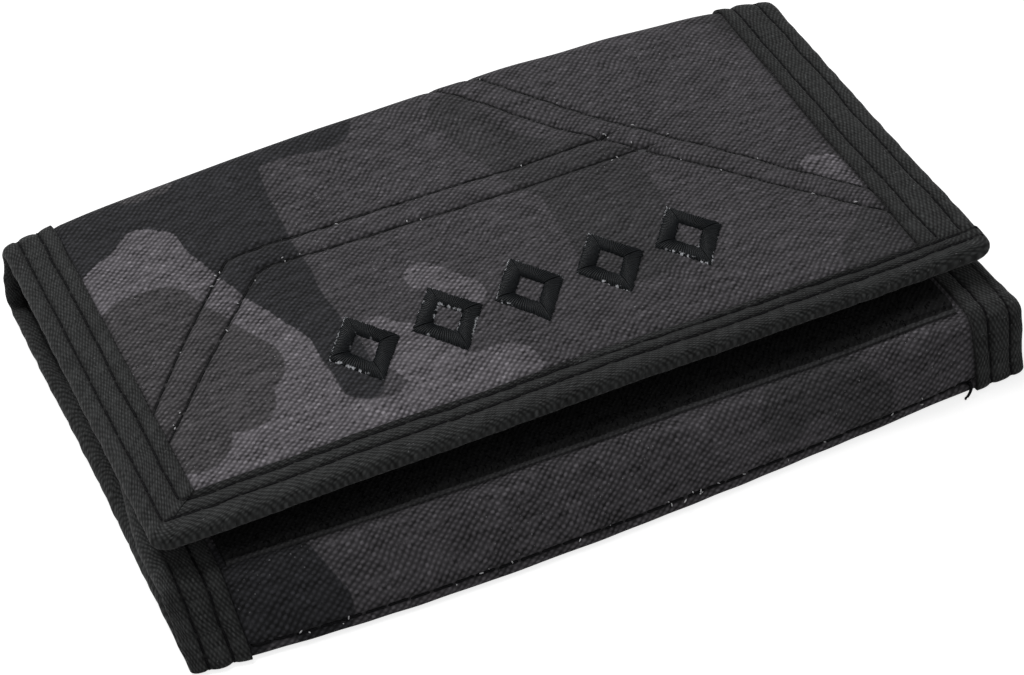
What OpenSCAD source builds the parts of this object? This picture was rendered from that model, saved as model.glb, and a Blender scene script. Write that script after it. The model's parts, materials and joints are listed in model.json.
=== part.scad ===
// Trifold wallet, closed: a back panel with the card pockets, a coin panel folded over it from
// the near side, and a cover flap folded over both from the far side.
// X runs along the folds, +Y points at the far fold, +Z is up, and the origin is under the middle.

/* [Wallet] */
// Length along the folds
wallet_w = 140; // [125:1:160]
// Depth from the near crease to the far fold
wallet_d = 85; // [82:1:90]
// Depth of the cover flap, from the far fold to its free edge
cover_d = 72; // [66:1:76]
// Depth of the coin panel, from its fold to its free edge
coin_panel_d = 47; // [42:0.5:47]
// How far the near spine leans in from the crease to the coin panel
spine_lean = 6; // [5:0.5:7]
// Room between the card pockets and the coin panel
coin_room_below = 1.7; // [1.6:0.1:3]
// Room under the cover for the hook and loop tapes
closure_room = 3.25; // [3:0.05:5]

/* [Cloth] */
// Thickness of the outer cloth
shell_t = 0.8; // [0.6:0.05:1]
// Thickness of the linings
lining_t = 0.4; // [0.3:0.05:0.5]
// Thickness of the pocket cloth
pocket_t = 0.4; // [0.3:0.05:0.5]
// Thickness of the foam in the cover
foam_t = 1.3; // [0.8:0.1:2.5]
// Radius of the outer cloth round the far fold
fold_r = 3.3; // [2.5:0.1:3.6]
// Radius of the outer cloth round the top of the near spine
crease_r = 3; // [2:0.1:3.5]
// Gap between two pieces of cloth that meet at a fold
fold_gap = 0.3; // [0.2:0.05:0.5]

/* [Binding] */
// Thickness of the binding tape
tape_t = 0.45; // [0.3:0.05:0.6]
// Width of the binding on each side of an edge
tape_w = 9; // [7:0.5:11]
// Depth of tape and thread outside the edges that it binds
tape_nose = 1.7; // [1.7:0.1:2.2]
// Radius of the bound corners
corner_r = 4; // [3:0.5:6]

/* [Pockets] */
// Room for folded notes under the card pockets
note_room = 0.9; // [0.5:0.1:1.5]
// Room for coins in the coin pocket
coin_room = 2.4; // [2.2:0.1:4]
// Height of the rear card pocket, from the near end of the pockets
rear_pocket_h = 63; // [60:1:68]
// Step from one pocket's mouth to the next
pocket_step = 9; // [6:0.5:11]
// Width of the hem at a pocket's mouth
hem_w = 3; // [2:0.5:4]
// Thickness of the hem at a pocket's mouth
hem_t = 0.25; // [0.15:0.05:0.3]
// Length of the window in the front pocket
window_w = 78; // [60:1:84]
// Height of the window in the front pocket
window_h = 30; // [20:1:34]
// Margin of the window sheet behind its frame
window_margin = 3; // [2:0.5:4]
// Width of the seam that closes a pocket at its near end
seam_w = 1.5; // [1:0.1:1.5]

/* [Hook and loop] */
// Depth of the loop tape on the coin panel
loop_d = 24; // [18:1:28]
// Thickness of the loop tape with its pile
loop_t = 1.3; // [1:0.1:1.5]
// Depth of the hook tape in the cover
hook_d = 20; // [14:1:22]
// Thickness of the hook tape with its hooks
hook_t = 1.05; // [0.8:0.05:1.2]
// Distance of the hook and loop tapes' ends from the binding
tape_end_gap = 1; // [0.5:0.5:5]

/* [Zipper] */
// Distance of the zipper's stops from the sides of the wallet
zip_end = 16; // [15:0.5:25]
// Distance of the zipper from the near end of the coin panel
zip_offset = 6.5; // [6.5:0.1:8]
// Half the slit in the pocket cloth that shows the teeth
slit_half = 3.5; // [3.4:0.1:4]
// Thickness of the zipper's tape
zip_tape_t = 0.3; // [0.2:0.05:0.4]
// Reach of each zipper tape from the middle of the teeth
zip_tape_reach = 5; // [4.6:0.1:5]
// Distance between two teeth on one tape
tooth_pitch = 2; // [1.8:0.1:2.4]
// Width of a tooth's neck
tooth_neck = 0.6; // [0.4:0.05:0.7]
// Thickness of a tooth
tooth_t = 1.1; // [0.9:0.05:1.2]
// Gap between two teeth in mesh
tooth_gap = 0.13; // [0.1:0.01:0.2]
// Half the gap between the beads that carry the teeth
bead_y = 1.3; // [1.2:0.05:1.4]
// Side of the square bead along each zipper tape
bead_s = 0.8; // [0.7:0.05:0.9]
// Length of a zipper stop
stop_l = 2; // [1.5:0.1:3]

/* [Slider] */
// Length of the slider
slider_l = 9; // [8:0.5:11]
// Thickness of the slider's two plates
plate_t = 0.6; // [0.5:0.05:0.7]
// Running clearance of the slider
slider_gap = 0.25; // [0.2:0.01:0.28]
// Thickness of the flanges that guide the slider
flange_t = 0.55; // [0.4:0.05:0.6]
// Width of the bridge that holds the pull
bridge_w = 1.6; // [1.2:0.1:2]
// Thickness of the bridge
bridge_t = 0.45; // [0.4:0.05:0.5]
// Length of the bridge
bridge_l = 5.6; // [5:0.1:6]
// Thickness of the pull
pull_t = 0.5; // [0.4:0.05:0.55]
// Clearance of the pull under the bridge
pull_gap = 0.08; // [0.06:0.01:0.1]
// Length of the pull from its pivot
pull_l = 13; // [10:0.5:14]
// Width of the pull's tab
pull_w = 5; // [4.4:0.1:5.6]

/* [Motif] */
// Number of embroidered lozenges
lozenge_count = 5; // [3:1:7]
// Width of a lozenge
lozenge_w = 12; // [8:0.5:13]
// Height of a lozenge
lozenge_h = 15; // [10:0.5:18]
// Distance from one lozenge to the next
lozenge_pitch = 14; // [13.5:0.5:16]
// Width of the open middle of a lozenge
lozenge_hole_w = 5; // [3:0.5:6]
// Thickness of the embroidery
thread_t = 0.35; // [0.2:0.05:0.4]
// Place of the motif's middle along X
motif_x = 4; // [0:0.5:8]
// Place of the motif's middle along Y
motif_y = -6.5; // [-10:0.5:8]

/* [Hidden] */
$fn = 48;
// A cut runs this far past the face that it opens
eps = 0.5;

// Heights, from the underside up
divider_z = shell_t + note_room;
pockets_z = divider_z + lining_t;
back_h = pockets_z + 3 * pocket_t + tape_t;
panel_z = back_h + coin_room_below;
coin_face_z = panel_z + tape_t;
coin_z = coin_face_z + pocket_t;
panel_lining_z = coin_z + coin_room;
panel_shell_z = panel_lining_z + lining_t;
loop_z = panel_shell_z + shell_t;
panel_top = loop_z + tape_t;
cover_z = panel_top + closure_room;
cover_lining_z = cover_z + tape_t;
foam_z = cover_lining_z + lining_t;
cover_shell_z = foam_z + foam_t;
cover_top = cover_shell_z + shell_t;
wallet_h = cover_top + tape_t;
panel_t = panel_top - panel_z;
cover_t = wallet_h - cover_z;

// Places across the depth
near_y = -wallet_d / 2;
far_y = wallet_d / 2;
edge_x = wallet_w / 2 - tape_nose;
bind_x = wallet_w / 2 - tape_w;
spine_t = tape_t + shell_t + lining_t + tape_t;
spine_len = sqrt(spine_lean * spine_lean + panel_top * panel_top);
lean_angle = atan2(spine_lean, panel_top);
turn = 90 - lean_angle;
panel_fold_y = near_y + spine_lean;
panel_y = panel_fold_y + (tape_t + crease_r) * tan(turn / 2);
panel_end_y = panel_fold_y + coin_panel_d;
panel_reach = panel_end_y - panel_y;
bend_y = far_y - tape_t - fold_r;
cover_reach = bend_y - (far_y - cover_d);
near_gap = (shell_t + fold_gap + spine_t * sin(lean_angle)) / cos(lean_angle);
top_gap = (tape_t + crease_r) * tan(turn / 2) + fold_gap;
lip = near_gap - fold_gap;
pockets_y = near_y + spine_lean * back_h / panel_top + spine_t / cos(lean_angle) + fold_gap;
pockets_end_y = bend_y - fold_gap / 2;

// The zipper, measured from the middle of its teeth
zip_len = wallet_w - 2 * zip_end;
zip_y = panel_y + zip_offset;
zip_z = coin_z + zip_tape_t / 2;
head_r = (tooth_pitch - tooth_neck) / 2 - tooth_gap;
head_y = sqrt(pow(2 * head_r + tooth_gap, 2) - tooth_pitch * tooth_pitch / 4) / 2;
slider_x = zip_len / 2 - stop_l - slider_gap - slider_l / 2;
teeth_x0 = -zip_len / 2 + stop_l + tooth_pitch / 2;
teeth_per_side = floor((slider_x - teeth_x0) / tooth_pitch);
channel_half = tooth_t / 2 + slider_gap;
guide_y = bead_y + bead_s + slider_gap;
plate_half = guide_y + flange_t;
pivot_z = -channel_half - plate_t - pull_gap - pull_t / 2;
bridge_z = pivot_z - pull_t / 2 - pull_gap - bridge_t;
eye_half = bridge_w / 2 + slider_gap;
eye_l = sqrt(pow(bridge_l / 2, 2) + pow(pivot_z - bridge_z, 2)) + 2 * slider_gap;

webbing = "#2b2c2a";
camo = "#3a373a";
lining = "#1c1c1d";
pile = "#101011";
thread = "#0d0d0e";
zinc = "#55565a";
clear = "#c8d2d6";

// ---- Shapes that repeat ----

// Runs a (Y, Z) outline along X, centred
module along_x(length) {
    rotate([90, 0, 90]) linear_extrude(height = length, center = true) children();
}

// Runs an (X, Z) outline from y0 to y1
module along_y(y0, y1) {
    translate([0, y1, 0]) rotate([90, 0, 0]) linear_extrude(height = y1 - y0) children();
}

// A flat sheet from one corner to the opposite one
module sheet(x0, x1, y0, y1, z, t) {
    translate([x0, y0, z]) cube([x1 - x0, y1 - y0, t]);
}

// The same, centred on X
module wide_sheet(half_w, y0, y1, z, t) {
    sheet(-half_w, half_w, y0, y1, z, t);
}

// Outline of a flap: square at its fold on y = 0, rounded at its free end
module tongue(half_w, reach, r) {
    translate([-half_w, 0]) square([2 * half_w, reach - r]);
    translate([r - half_w, 0]) square([2 * (half_w - r), reach]);
    for (side = [-1, 1]) {
        translate([side * (half_w - r), reach - r]) circle(r);
    }
}

// A flap's sheet, as large as the binding's channel takes it
module flap_sheet(reach, z, t) {
    translate([0, 0, z]) linear_extrude(height = t) {
        tongue(edge_x, reach - tape_nose, corner_r - tape_nose);
    }
}

// Section of a bound edge: tape round a rim, open towards +x
module edge_channel(height) {
    difference() {
        union() {
            translate([height / 2, height / 2]) circle(height / 2);
            translate([height / 2, 0]) square([tape_w - height / 2, height]);
        }
        translate([tape_nose, tape_t]) square([tape_w, height - 2 * tape_t]);
    }
}

// Binding round the three free edges of a flap, with mitred corners
module flap_binding(reach, height) {
    r = height / 2;
    half_w = wallet_w / 2;
    difference() {
        intersection() {
            along_y(0, reach) {
                for (side = [-1, 1]) {
                    translate([side * (half_w - r), r]) circle(r);
                }
                translate([r - half_w, 0]) square([2 * (half_w - r), height]);
            }
            along_x(wallet_w) {
                translate([reach - r, r]) circle(r);
                square([reach - r, height]);
            }
            linear_extrude(height = height) tongue(half_w, reach, corner_r);
        }
        translate([0, -eps, tape_t]) linear_extrude(height = height - 2 * tape_t) {
            tongue(edge_x, reach - tape_nose + eps, corner_r - tape_nose);
        }
        wide_sheet(bind_x, -eps, reach - tape_w, -eps, height + 2 * eps);
    }
}

// Sector of a ring from angle a0 to a1, for cloth that turns round a fold
module arc_band(r_out, t, a0, a1) {
    reach = 2 * r_out;
    difference() {
        intersection() {
            circle(r_out);
            polygon([
                [0, 0],
                reach * [cos(a0), sin(a0)],
                reach * [cos((a0 + a1) / 2), sin((a0 + a1) / 2)],
                reach * [cos(a1), sin(a1)]
            ]);
        }
        circle(r_out - t);
    }
}

// Puts a (Y, Z) outline on the near spine: x along it from the crease, -y into the wallet
module on_near_spine() {
    translate([near_y, 0]) rotate(turn) children();
}

// A strip of the near spine, between two depths under its outer face
module near_spine_strip(depth, t) {
    on_near_spine() {
        translate([near_gap, -depth - t]) square([spine_len - near_gap - top_gap, t]);
    }
}

// Puts a shape in the zipper's own frame
module on_zipper() {
    translate([0, zip_y, zip_z]) children();
}

// ---- Back panel, with the note and card pockets ----

module back_shell() {
    color(camo) difference() {
        along_x(2 * edge_x) {
            translate([near_y, 0]) square([bend_y - near_y, shell_t]);
            translate([bend_y, fold_r]) arc_band(fold_r, shell_t, -90, 0);
            intersection() {
                on_near_spine() translate([0, -shell_t]) square([lip, shell_t]);
                translate([near_y, 0]) square(panel_top);
            }
        }
        for (side = [-1, 1]) {
            translate([side * (bind_x + tape_w), 0, 0]) {
                wide_sheet(tape_w, pockets_y, pockets_end_y, -eps, tape_t + eps);
            }
        }
    }
}

module back_binding(side) {
    color(webbing) along_y(pockets_y, pockets_end_y) {
        mirror([side > 0 ? 1 : 0, 0]) translate([-wallet_w / 2, 0]) edge_channel(back_h);
    }
}

module back_binding_left() {
    back_binding(-1);
}

module back_binding_right() {
    back_binding(1);
}

module note_divider() {
    color(lining) {
        wide_sheet(edge_x, pockets_y, pockets_end_y, divider_z, lining_t);
        sheet(-edge_x, -bind_x, pockets_y, pockets_end_y, shell_t, note_room);
        sheet(bind_x, edge_x, pockets_y, pockets_end_y, shell_t, note_room);
        wide_sheet(edge_x, pockets_y, pockets_y + seam_w, shell_t, note_room);
    }
}

// One card pocket of the stack, with the hem at its mouth; the sides run on under the binding
module card_pocket(level) {
    z = pockets_z + level * pocket_t;
    mouth_y = pockets_y + rear_pocket_h - level * pocket_step;
    wide_sheet(edge_x, pockets_y, mouth_y, z, pocket_t);
    wide_sheet(bind_x, mouth_y - hem_w, mouth_y, z + pocket_t, hem_t);
    for (side = [-1, 1]) {
        translate([side * (bind_x + edge_x) / 2, 0, 0]) {
            wide_sheet((edge_x - bind_x) / 2, mouth_y, pockets_end_y, z, pocket_t);
        }
    }
}

module card_pocket_rear() {
    color(lining) card_pocket(0);
}

module card_pocket_middle() {
    color(lining) card_pocket(1);
}

window_y = pockets_y + (rear_pocket_h - 2 * pocket_step - hem_w - window_h) / 2;
window_t = pocket_t / 2;

module card_pocket_front() {
    z = pockets_z + 2 * pocket_t;
    color(lining) difference() {
        card_pocket(2);
        wide_sheet(window_w / 2, window_y, window_y + window_h, z - eps, pocket_t + 2 * eps);
        translate([0, 0, z - eps]) {
            wide_sheet(
                window_w / 2 + window_margin,
                window_y - window_margin, window_y + window_h + window_margin,
                0, window_t + eps
            );
        }
    }
}

module id_window() {
    color(clear) wide_sheet(
        window_w / 2 + window_margin,
        window_y - window_margin, window_y + window_h + window_margin,
        pockets_z + 2 * pocket_t, window_t
    );
}

// ---- Far spine, between the back panel and the cover ----

cover_spine_z0 = fold_r + fold_gap;
cover_spine_z1 = cover_top - fold_r - fold_gap;

module far_spine_strip(half_w, depth, t) {
    translate([-half_w, far_y - depth - t, cover_spine_z0]) {
        cube([2 * half_w, t, cover_spine_z1 - cover_spine_z0]);
    }
}

module cover_spine_shell() {
    color(camo) far_spine_strip(edge_x, tape_t, shell_t);
}

module cover_spine_lining() {
    color(lining) far_spine_strip(edge_x, tape_t + shell_t, lining_t);
}

module cover_spine_binding(side) {
    color(webbing) translate([0, 0, cover_spine_z0]) {
        linear_extrude(height = cover_spine_z1 - cover_spine_z0) {
            mirror([side > 0 ? 1 : 0, 0]) translate([-wallet_w / 2, far_y - spine_t]) {
                edge_channel(spine_t);
            }
        }
    }
}

module cover_spine_binding_left() {
    cover_spine_binding(-1);
}

module cover_spine_binding_right() {
    cover_spine_binding(1);
}

// ---- Cover flap ----

// Turns a flap round, so that it reaches from the far fold towards the near side
module from_far_fold() {
    translate([0, bend_y, 0]) mirror([0, 1, 0]) children();
}

module cover_shell() {
    color(camo) {
        from_far_fold() flap_sheet(cover_reach, cover_shell_z, shell_t);
        along_x(2 * edge_x) {
            translate([bend_y, cover_top - fold_r]) arc_band(fold_r, shell_t, 0, 90);
        }
    }
}

module cover_foam() {
    color("#3b3b3b") from_far_fold() flap_sheet(cover_reach, foam_z, foam_t);
}

module cover_lining() {
    color(lining) from_far_fold() flap_sheet(cover_reach, cover_lining_z, lining_t);
}

module cover_binding() {
    color(webbing) from_far_fold() translate([0, 0, cover_z]) flap_binding(cover_reach, cover_t);
}

// The hook tape lies on the lining beside the near binding, over the middle of the loop tape
module hook_tape() {
    y0 = bend_y - cover_reach + tape_w + tape_end_gap;
    color(pile) wide_sheet(bind_x - tape_end_gap, y0, y0 + hook_d, cover_lining_z - hook_t, hook_t);
}

// One embroidered lozenge with an open middle
module lozenge(w, h) {
    polygon([[-w / 2, 0], [0, -h / 2], [w / 2, 0], [0, h / 2]]);
}

module cover_motif() {
    color(thread) translate([motif_x, motif_y, cover_top]) linear_extrude(height = thread_t) {
        for (i = [0 : lozenge_count - 1]) {
            translate([(i - (lozenge_count - 1) / 2) * lozenge_pitch, 0]) difference() {
                lozenge(lozenge_w, lozenge_h);
                lozenge(lozenge_hole_w, lozenge_hole_w * lozenge_h / lozenge_w);
            }
        }
    }
}

// ---- Near spine, between the back panel and the coin panel ----

module inner_spine_shell() {
    color(camo) along_x(2 * edge_x) near_spine_strip(tape_t, shell_t);
}

module inner_spine_lining() {
    color(lining) along_x(2 * edge_x) near_spine_strip(tape_t + shell_t, lining_t);
}

module inner_spine_binding(side) {
    length = spine_len - near_gap - top_gap;
    color(webbing) translate([0, near_y, 0]) rotate([turn - 90, 0, 0]) {
        translate([0, 0, near_gap]) linear_extrude(height = length) {
            mirror([side > 0 ? 1 : 0, 0]) translate([-wallet_w / 2, 0]) edge_channel(spine_t);
        }
    }
}

module inner_spine_binding_left() {
    inner_spine_binding(-1);
}

module inner_spine_binding_right() {
    inner_spine_binding(1);
}

// ---- Coin panel ----

module on_coin_panel() {
    translate([0, panel_y, 0]) children();
}

module inner_shell() {
    color(camo) {
        on_coin_panel() flap_sheet(panel_reach, panel_shell_z, shell_t);
        along_x(2 * edge_x) {
            translate([panel_y, loop_z - crease_r]) arc_band(crease_r, shell_t, 90, 90 + turn);
        }
    }
}

module inner_lining() {
    color(lining) on_coin_panel() flap_sheet(panel_reach, panel_lining_z, lining_t);
}

module inner_binding() {
    color(webbing) on_coin_panel() translate([0, 0, panel_z]) flap_binding(panel_reach, panel_t);
}

module loop_tape() {
    color(pile) on_coin_panel() {
        wide_sheet(bind_x - tape_end_gap, 0, loop_d, loop_z, loop_t);
    }
}

// The strip that keeps the coin pocket's two faces apart, all round the pocket
module coin_gusset() {
    color(lining) on_coin_panel() difference() {
        flap_sheet(panel_reach, coin_z, coin_room);
        wide_sheet(bind_x, seam_w, panel_reach - tape_w, coin_z - eps, coin_room + 2 * eps);
    }
}

module coin_pocket_near() {
    color(lining) on_coin_panel() {
        wide_sheet(edge_x, 0, zip_offset - slit_half, coin_face_z, pocket_t);
    }
}

module coin_pocket_far() {
    half_slit_l = zip_len / 2 + stop_l;
    color(lining) on_coin_panel() difference() {
        flap_sheet(panel_reach, coin_face_z, pocket_t);
        wide_sheet(edge_x + eps, -eps, zip_offset - slit_half, coin_face_z - eps, pocket_t + 2 * eps);
        wide_sheet(
            half_slit_l, zip_offset - slit_half - eps, zip_offset + slit_half,
            coin_face_z - eps, pocket_t + 2 * eps
        );
    }
}

// ---- Zipper: side is -1 for the near half and 1 for the far half ----

module zip_section(side) {
    mirror([side < 0 ? 1 : 0, 0]) {
        translate([bead_y, -bead_s / 2]) square(bead_s);
        translate([bead_y + bead_s / 2, -zip_tape_t / 2]) {
            square([zip_tape_reach - bead_y - bead_s / 2, zip_tape_t]);
        }
    }
}

module zip_tape(side) {
    color(lining) on_zipper() along_x(zip_len + 2 * stop_l) zip_section(side);
}

module zip_tape_near() {
    zip_tape(-1);
}

module zip_tape_far() {
    zip_tape(1);
}

// A tooth grows from the bead at y = -bead_y, and its round head reaches past the middle
module tooth() {
    translate([-tooth_neck / 2, -bead_y]) square([tooth_neck, bead_y + head_y]);
    translate([0, head_y]) circle(head_r, $fn = 24);
}

module zip_teeth(side) {
    shift = side < 0 ? 0 : tooth_pitch / 2;
    color(thread) on_zipper() translate([0, 0, -tooth_t / 2]) linear_extrude(height = tooth_t) {
        for (i = [0 : teeth_per_side - 1]) {
            translate([teeth_x0 + i * tooth_pitch + shift, 0]) {
                mirror([0, side > 0 ? 1 : 0]) tooth();
            }
        }
    }
}

module zip_teeth_near() {
    zip_teeth(-1);
}

module zip_teeth_far() {
    zip_teeth(1);
}

// A block clamped round the beads, from y0 to y1, at the end of the zipper that side names
module zip_stop(end, y0, y1) {
    outer_t = tooth_t + 2 * tooth_gap;
    x_mid = end * (zip_len / 2 - stop_l / 2);
    difference() {
        translate([x_mid - stop_l / 2, y0, -outer_t / 2]) cube([stop_l, y1 - y0, outer_t]);
        along_x(zip_len + 4 * stop_l) {
            zip_section(-1);
            zip_section(1);
        }
    }
}

module zip_top_stops() {
    stop_y0 = bead_y - 2 * tooth_gap;
    stop_y1 = bead_y + bead_s + tooth_gap;
    color(thread) on_zipper() {
        zip_stop(1, -stop_y1, -stop_y0);
        zip_stop(1, stop_y0, stop_y1);
    }
}

module zip_bottom_stop() {
    reach = bead_y + bead_s + tooth_gap;
    color(thread) on_zipper() zip_stop(-1, -reach, reach);
}

// Outline of a slider plate: round shoulders in front, where the tapes part, and a narrow tail
module slider_plate() {
    half_l = slider_l / 2;
    shoulder_r = plate_half / 2;
    polygon([
        [-half_l, -plate_half + flange_t],
        [-half_l + flange_t, -plate_half],
        [half_l - shoulder_r, -plate_half - flange_t / 2],
        [half_l - shoulder_r, plate_half + flange_t / 2],
        [-half_l + flange_t, plate_half],
        [-half_l, plate_half - flange_t]
    ]);
    for (side = [-1, 1]) {
        translate([half_l - shoulder_r, side * (plate_half + flange_t / 2 - shoulder_r)]) {
            circle(shoulder_r);
        }
    }
    translate([0, -plate_half / 2]) square([half_l - shoulder_r / 2, plate_half]);
}

// The wedge that parts the teeth joins the plates in front of them
module slider_wedge() {
    nose_r = bead_y / 2;
    wedge_x = slider_l / 2 - nose_r - plate_t;
    translate([wedge_x, 0]) circle(nose_r);
    polygon([[wedge_x, -nose_r], [wedge_x, nose_r], [slider_l / 8, 0]]);
}

// The flanges leave the zipper's tape free to pass
module slider_flanges() {
    tape_half = zip_tape_t / 2 + slider_gap;
    for (side = [-1, 1]) {
        for (level = [-1, 1]) {
            z_mid = level * (channel_half + tape_half) / 2;
            y_mid = side * (guide_y + flange_t / 2);
            translate([0, y_mid, z_mid]) {
                cube([slider_l - 2 * flange_t, flange_t, channel_half - tape_half], center = true);
            }
        }
    }
}

// The bridge over the pull's eye runs along the slider, on a post at each end
module slider_bridge() {
    post_l = bridge_t * 1.5;
    translate([-bridge_l / 2, -bridge_w / 2, bridge_z]) cube([bridge_l, bridge_w, bridge_t]);
    for (end = [-1, 1]) {
        translate([end * (bridge_l - post_l) / 2, 0, (bridge_z - channel_half - plate_t) / 2]) {
            cube([post_l, bridge_w, -channel_half - plate_t - bridge_z], center = true);
        }
    }
}

module zip_slider() {
    color(zinc) on_zipper() translate([slider_x, 0, 0]) {
        translate([0, 0, -channel_half - plate_t]) linear_extrude(height = plate_t) slider_plate();
        translate([0, 0, channel_half]) linear_extrude(height = plate_t) slider_plate();
        translate([0, 0, -channel_half]) linear_extrude(height = 2 * channel_half) slider_wedge();
        slider_flanges();
        slider_bridge();
    }
}

// Flat pull: two arms beside the bridge, a round pin under it, and a tab with a hole
module pull_outline() {
    arm_w = (pull_w - 2 * eye_half) / 2;
    end_r = pull_w / 2;
    difference() {
        union() {
            translate([-pull_l + end_r, -pull_w / 2]) square([pull_l - end_r, pull_w]);
            translate([-pull_l + end_r, 0]) circle(end_r);
        }
        translate([-eye_l, -eye_half]) square([eye_l + eps, 2 * eye_half]);
        translate([-pull_l + end_r, 0]) circle(arm_w);
    }
}

module zip_pull() {
    color(zinc) on_zipper() translate([slider_x, 0, pivot_z]) {
        translate([0, 0, -pull_t / 2]) linear_extrude(height = pull_t) pull_outline();
        rotate([90, 0, 0]) cylinder(h = pull_w, r = pull_t / 2, center = true);
    }
}

back_shell();
back_binding_left();
back_binding_right();
note_divider();
card_pocket_rear();
card_pocket_middle();
card_pocket_front();
id_window();
cover_spine_shell();
cover_spine_lining();
cover_spine_binding_left();
cover_spine_binding_right();
cover_shell();
cover_foam();
cover_lining();
cover_binding();
hook_tape();
cover_motif();
inner_spine_shell();
inner_spine_lining();
inner_spine_binding_left();
inner_spine_binding_right();
inner_shell();
inner_lining();
inner_binding();
loop_tape();
coin_gusset();
coin_pocket_near();
coin_pocket_far();
zip_tape_near();
zip_tape_far();
zip_teeth_near();
zip_teeth_far();
zip_top_stops();
zip_bottom_stop();
zip_slider();
zip_pull();
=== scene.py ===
"""Looks of a closed trifold wallet in printed cloth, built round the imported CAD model.

All sizes in this file are in millimetres and become metres where a mesh is made.
Every layer of the wallet is a surface over two numbers: x, along the folds, and s, the distance
along one strip of cloth that runs from the cover's free edge over the far fold, under the back
panel, round the near crease and over the coin panel. A third number, depth, goes into the layers.
"""
import json
import math

import bpy
import numpy as np
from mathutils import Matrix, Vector
from mathutils.bvhtree import BVHTree


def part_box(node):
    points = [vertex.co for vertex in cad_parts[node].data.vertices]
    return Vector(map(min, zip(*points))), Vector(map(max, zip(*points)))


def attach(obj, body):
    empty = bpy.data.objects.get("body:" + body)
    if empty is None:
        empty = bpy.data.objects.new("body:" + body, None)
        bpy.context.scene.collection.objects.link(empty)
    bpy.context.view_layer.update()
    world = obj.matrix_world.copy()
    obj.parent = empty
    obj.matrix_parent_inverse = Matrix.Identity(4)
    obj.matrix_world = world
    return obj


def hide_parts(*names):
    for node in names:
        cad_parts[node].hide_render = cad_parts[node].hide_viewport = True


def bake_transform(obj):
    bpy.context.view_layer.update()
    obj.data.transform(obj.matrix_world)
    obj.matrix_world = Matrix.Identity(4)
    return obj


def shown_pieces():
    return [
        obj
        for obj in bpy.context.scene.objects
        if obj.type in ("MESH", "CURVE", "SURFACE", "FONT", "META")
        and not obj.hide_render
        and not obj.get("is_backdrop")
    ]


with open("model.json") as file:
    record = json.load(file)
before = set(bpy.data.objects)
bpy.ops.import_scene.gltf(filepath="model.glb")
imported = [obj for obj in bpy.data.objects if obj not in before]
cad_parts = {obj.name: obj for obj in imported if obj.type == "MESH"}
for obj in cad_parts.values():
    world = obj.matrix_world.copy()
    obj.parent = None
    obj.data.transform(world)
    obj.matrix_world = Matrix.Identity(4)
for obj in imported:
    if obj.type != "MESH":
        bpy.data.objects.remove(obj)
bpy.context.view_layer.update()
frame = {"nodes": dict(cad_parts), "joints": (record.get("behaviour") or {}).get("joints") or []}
MM = 0.001


def cad_box(node):
    """Lowest and highest corner of a CAD node, in millimetres."""
    return [np.array(corner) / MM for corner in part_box(node)]


HINGE = {j["name"]: np.array(j["pos_m"]) / MM for j in frame["joints"] if j["type"] == "hinge"}


# ---- Camera and image points, in the photograph's 1024 by 675 frame ----

PHOTO_W, PHOTO_H = 1024, 675
CAMERA_PLACE = (-0.12919, -0.27698, 0.31167)
CAMERA_TURN = (44.484, 0.636, -25.772)
CAMERA_LENS = 94.92
SENSOR = 36.0

IMAGE_POINTS = {
    "left_edge": (2, 257),
    "right_edge": (1022, 327),
    "top_edge": (768, 2),
    "bottom_edge": (195, 672),
    "cover_far_left": (3, 249),
    "cover_near_left": (156, 548),
    "cover_near_right": (989, 246),
    "cover_far_right": (768, 2),
    "motif_middle": (525, 295),
    "long_seam_turn": (225, 262),
    "long_seam_end": (610, 134),
    "cross_seam_top": (478, 84),
    "cross_seam_low": (870, 190),
    "crease_row": (560, 548),
    "thread_end": (968, 394),
}

scene = bpy.context.scene
camera_data = bpy.data.cameras.new("camera")
camera = bpy.data.objects.new("camera", camera_data)
scene.collection.objects.link(camera)
scene.camera = camera
camera.location = CAMERA_PLACE
camera.rotation_euler = [math.radians(a) for a in CAMERA_TURN]
camera_data.lens = CAMERA_LENS
camera_data.sensor_width = SENSOR
camera_data.sensor_fit = "AUTO"
camera_data.clip_start = 0.01
bpy.context.view_layer.update()
camera_axes = np.array(camera.matrix_world.to_3x3())
camera_eye = np.array(camera.matrix_world.translation)


def image_ray(x, y):
    """Direction in the world of the ray through an image point."""
    long_side = max(PHOTO_W, PHOTO_H)
    ray = (
        x - PHOTO_W / 2 + camera_data.shift_x * long_side,
        PHOTO_H / 2 - y + camera_data.shift_y * long_side,
        -long_side * camera_data.lens / camera_data.sensor_width,
    )
    return camera_axes @ np.array(ray)


def image_place(points):
    """Image x and y of world points in metres: the inverse of image_ray."""
    long_side = max(PHOTO_W, PHOTO_H)
    local = (np.asarray(points) - camera_eye) @ camera_axes
    focal = long_side * camera_data.lens / camera_data.sensor_width
    x = local[:, 0] / -local[:, 2] * focal + PHOTO_W / 2 - camera_data.shift_x * long_side
    y = PHOTO_H / 2 - local[:, 1] / -local[:, 2] * focal + camera_data.shift_y * long_side
    return np.stack([x, y], 1)


def carrier_tree(*pieces):
    """One search tree over the finished faces of the pieces that carry something."""
    verts, faces = [], []
    for piece in pieces:
        start = len(verts)
        verts += [v.co.copy() for v in piece.data.vertices]
        faces += [[start + i for i in p.vertices] for p in piece.data.polygons]
    return BVHTree.FromPolygons(verts, faces)


def spot(name, tree):
    """Where the ray of a named image point meets its carriers, in millimetres; a miss takes the
    place on them that is nearest the ray."""
    eye, ray = Vector(camera_eye), Vector(image_ray(*IMAGE_POINTS[name])).normalized()
    hit = tree.ray_cast(eye, ray)[0]
    if hit is None:
        along = (Vector((0, 0, 0.01)) - eye).dot(ray)
        near = [tree.find_nearest(eye + ray * (along + step * MM)) for step in range(-90, 91, 3)]
        hit = min(near, key=lambda found: found[3])[0]
    return np.array(hit) / MM


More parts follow.
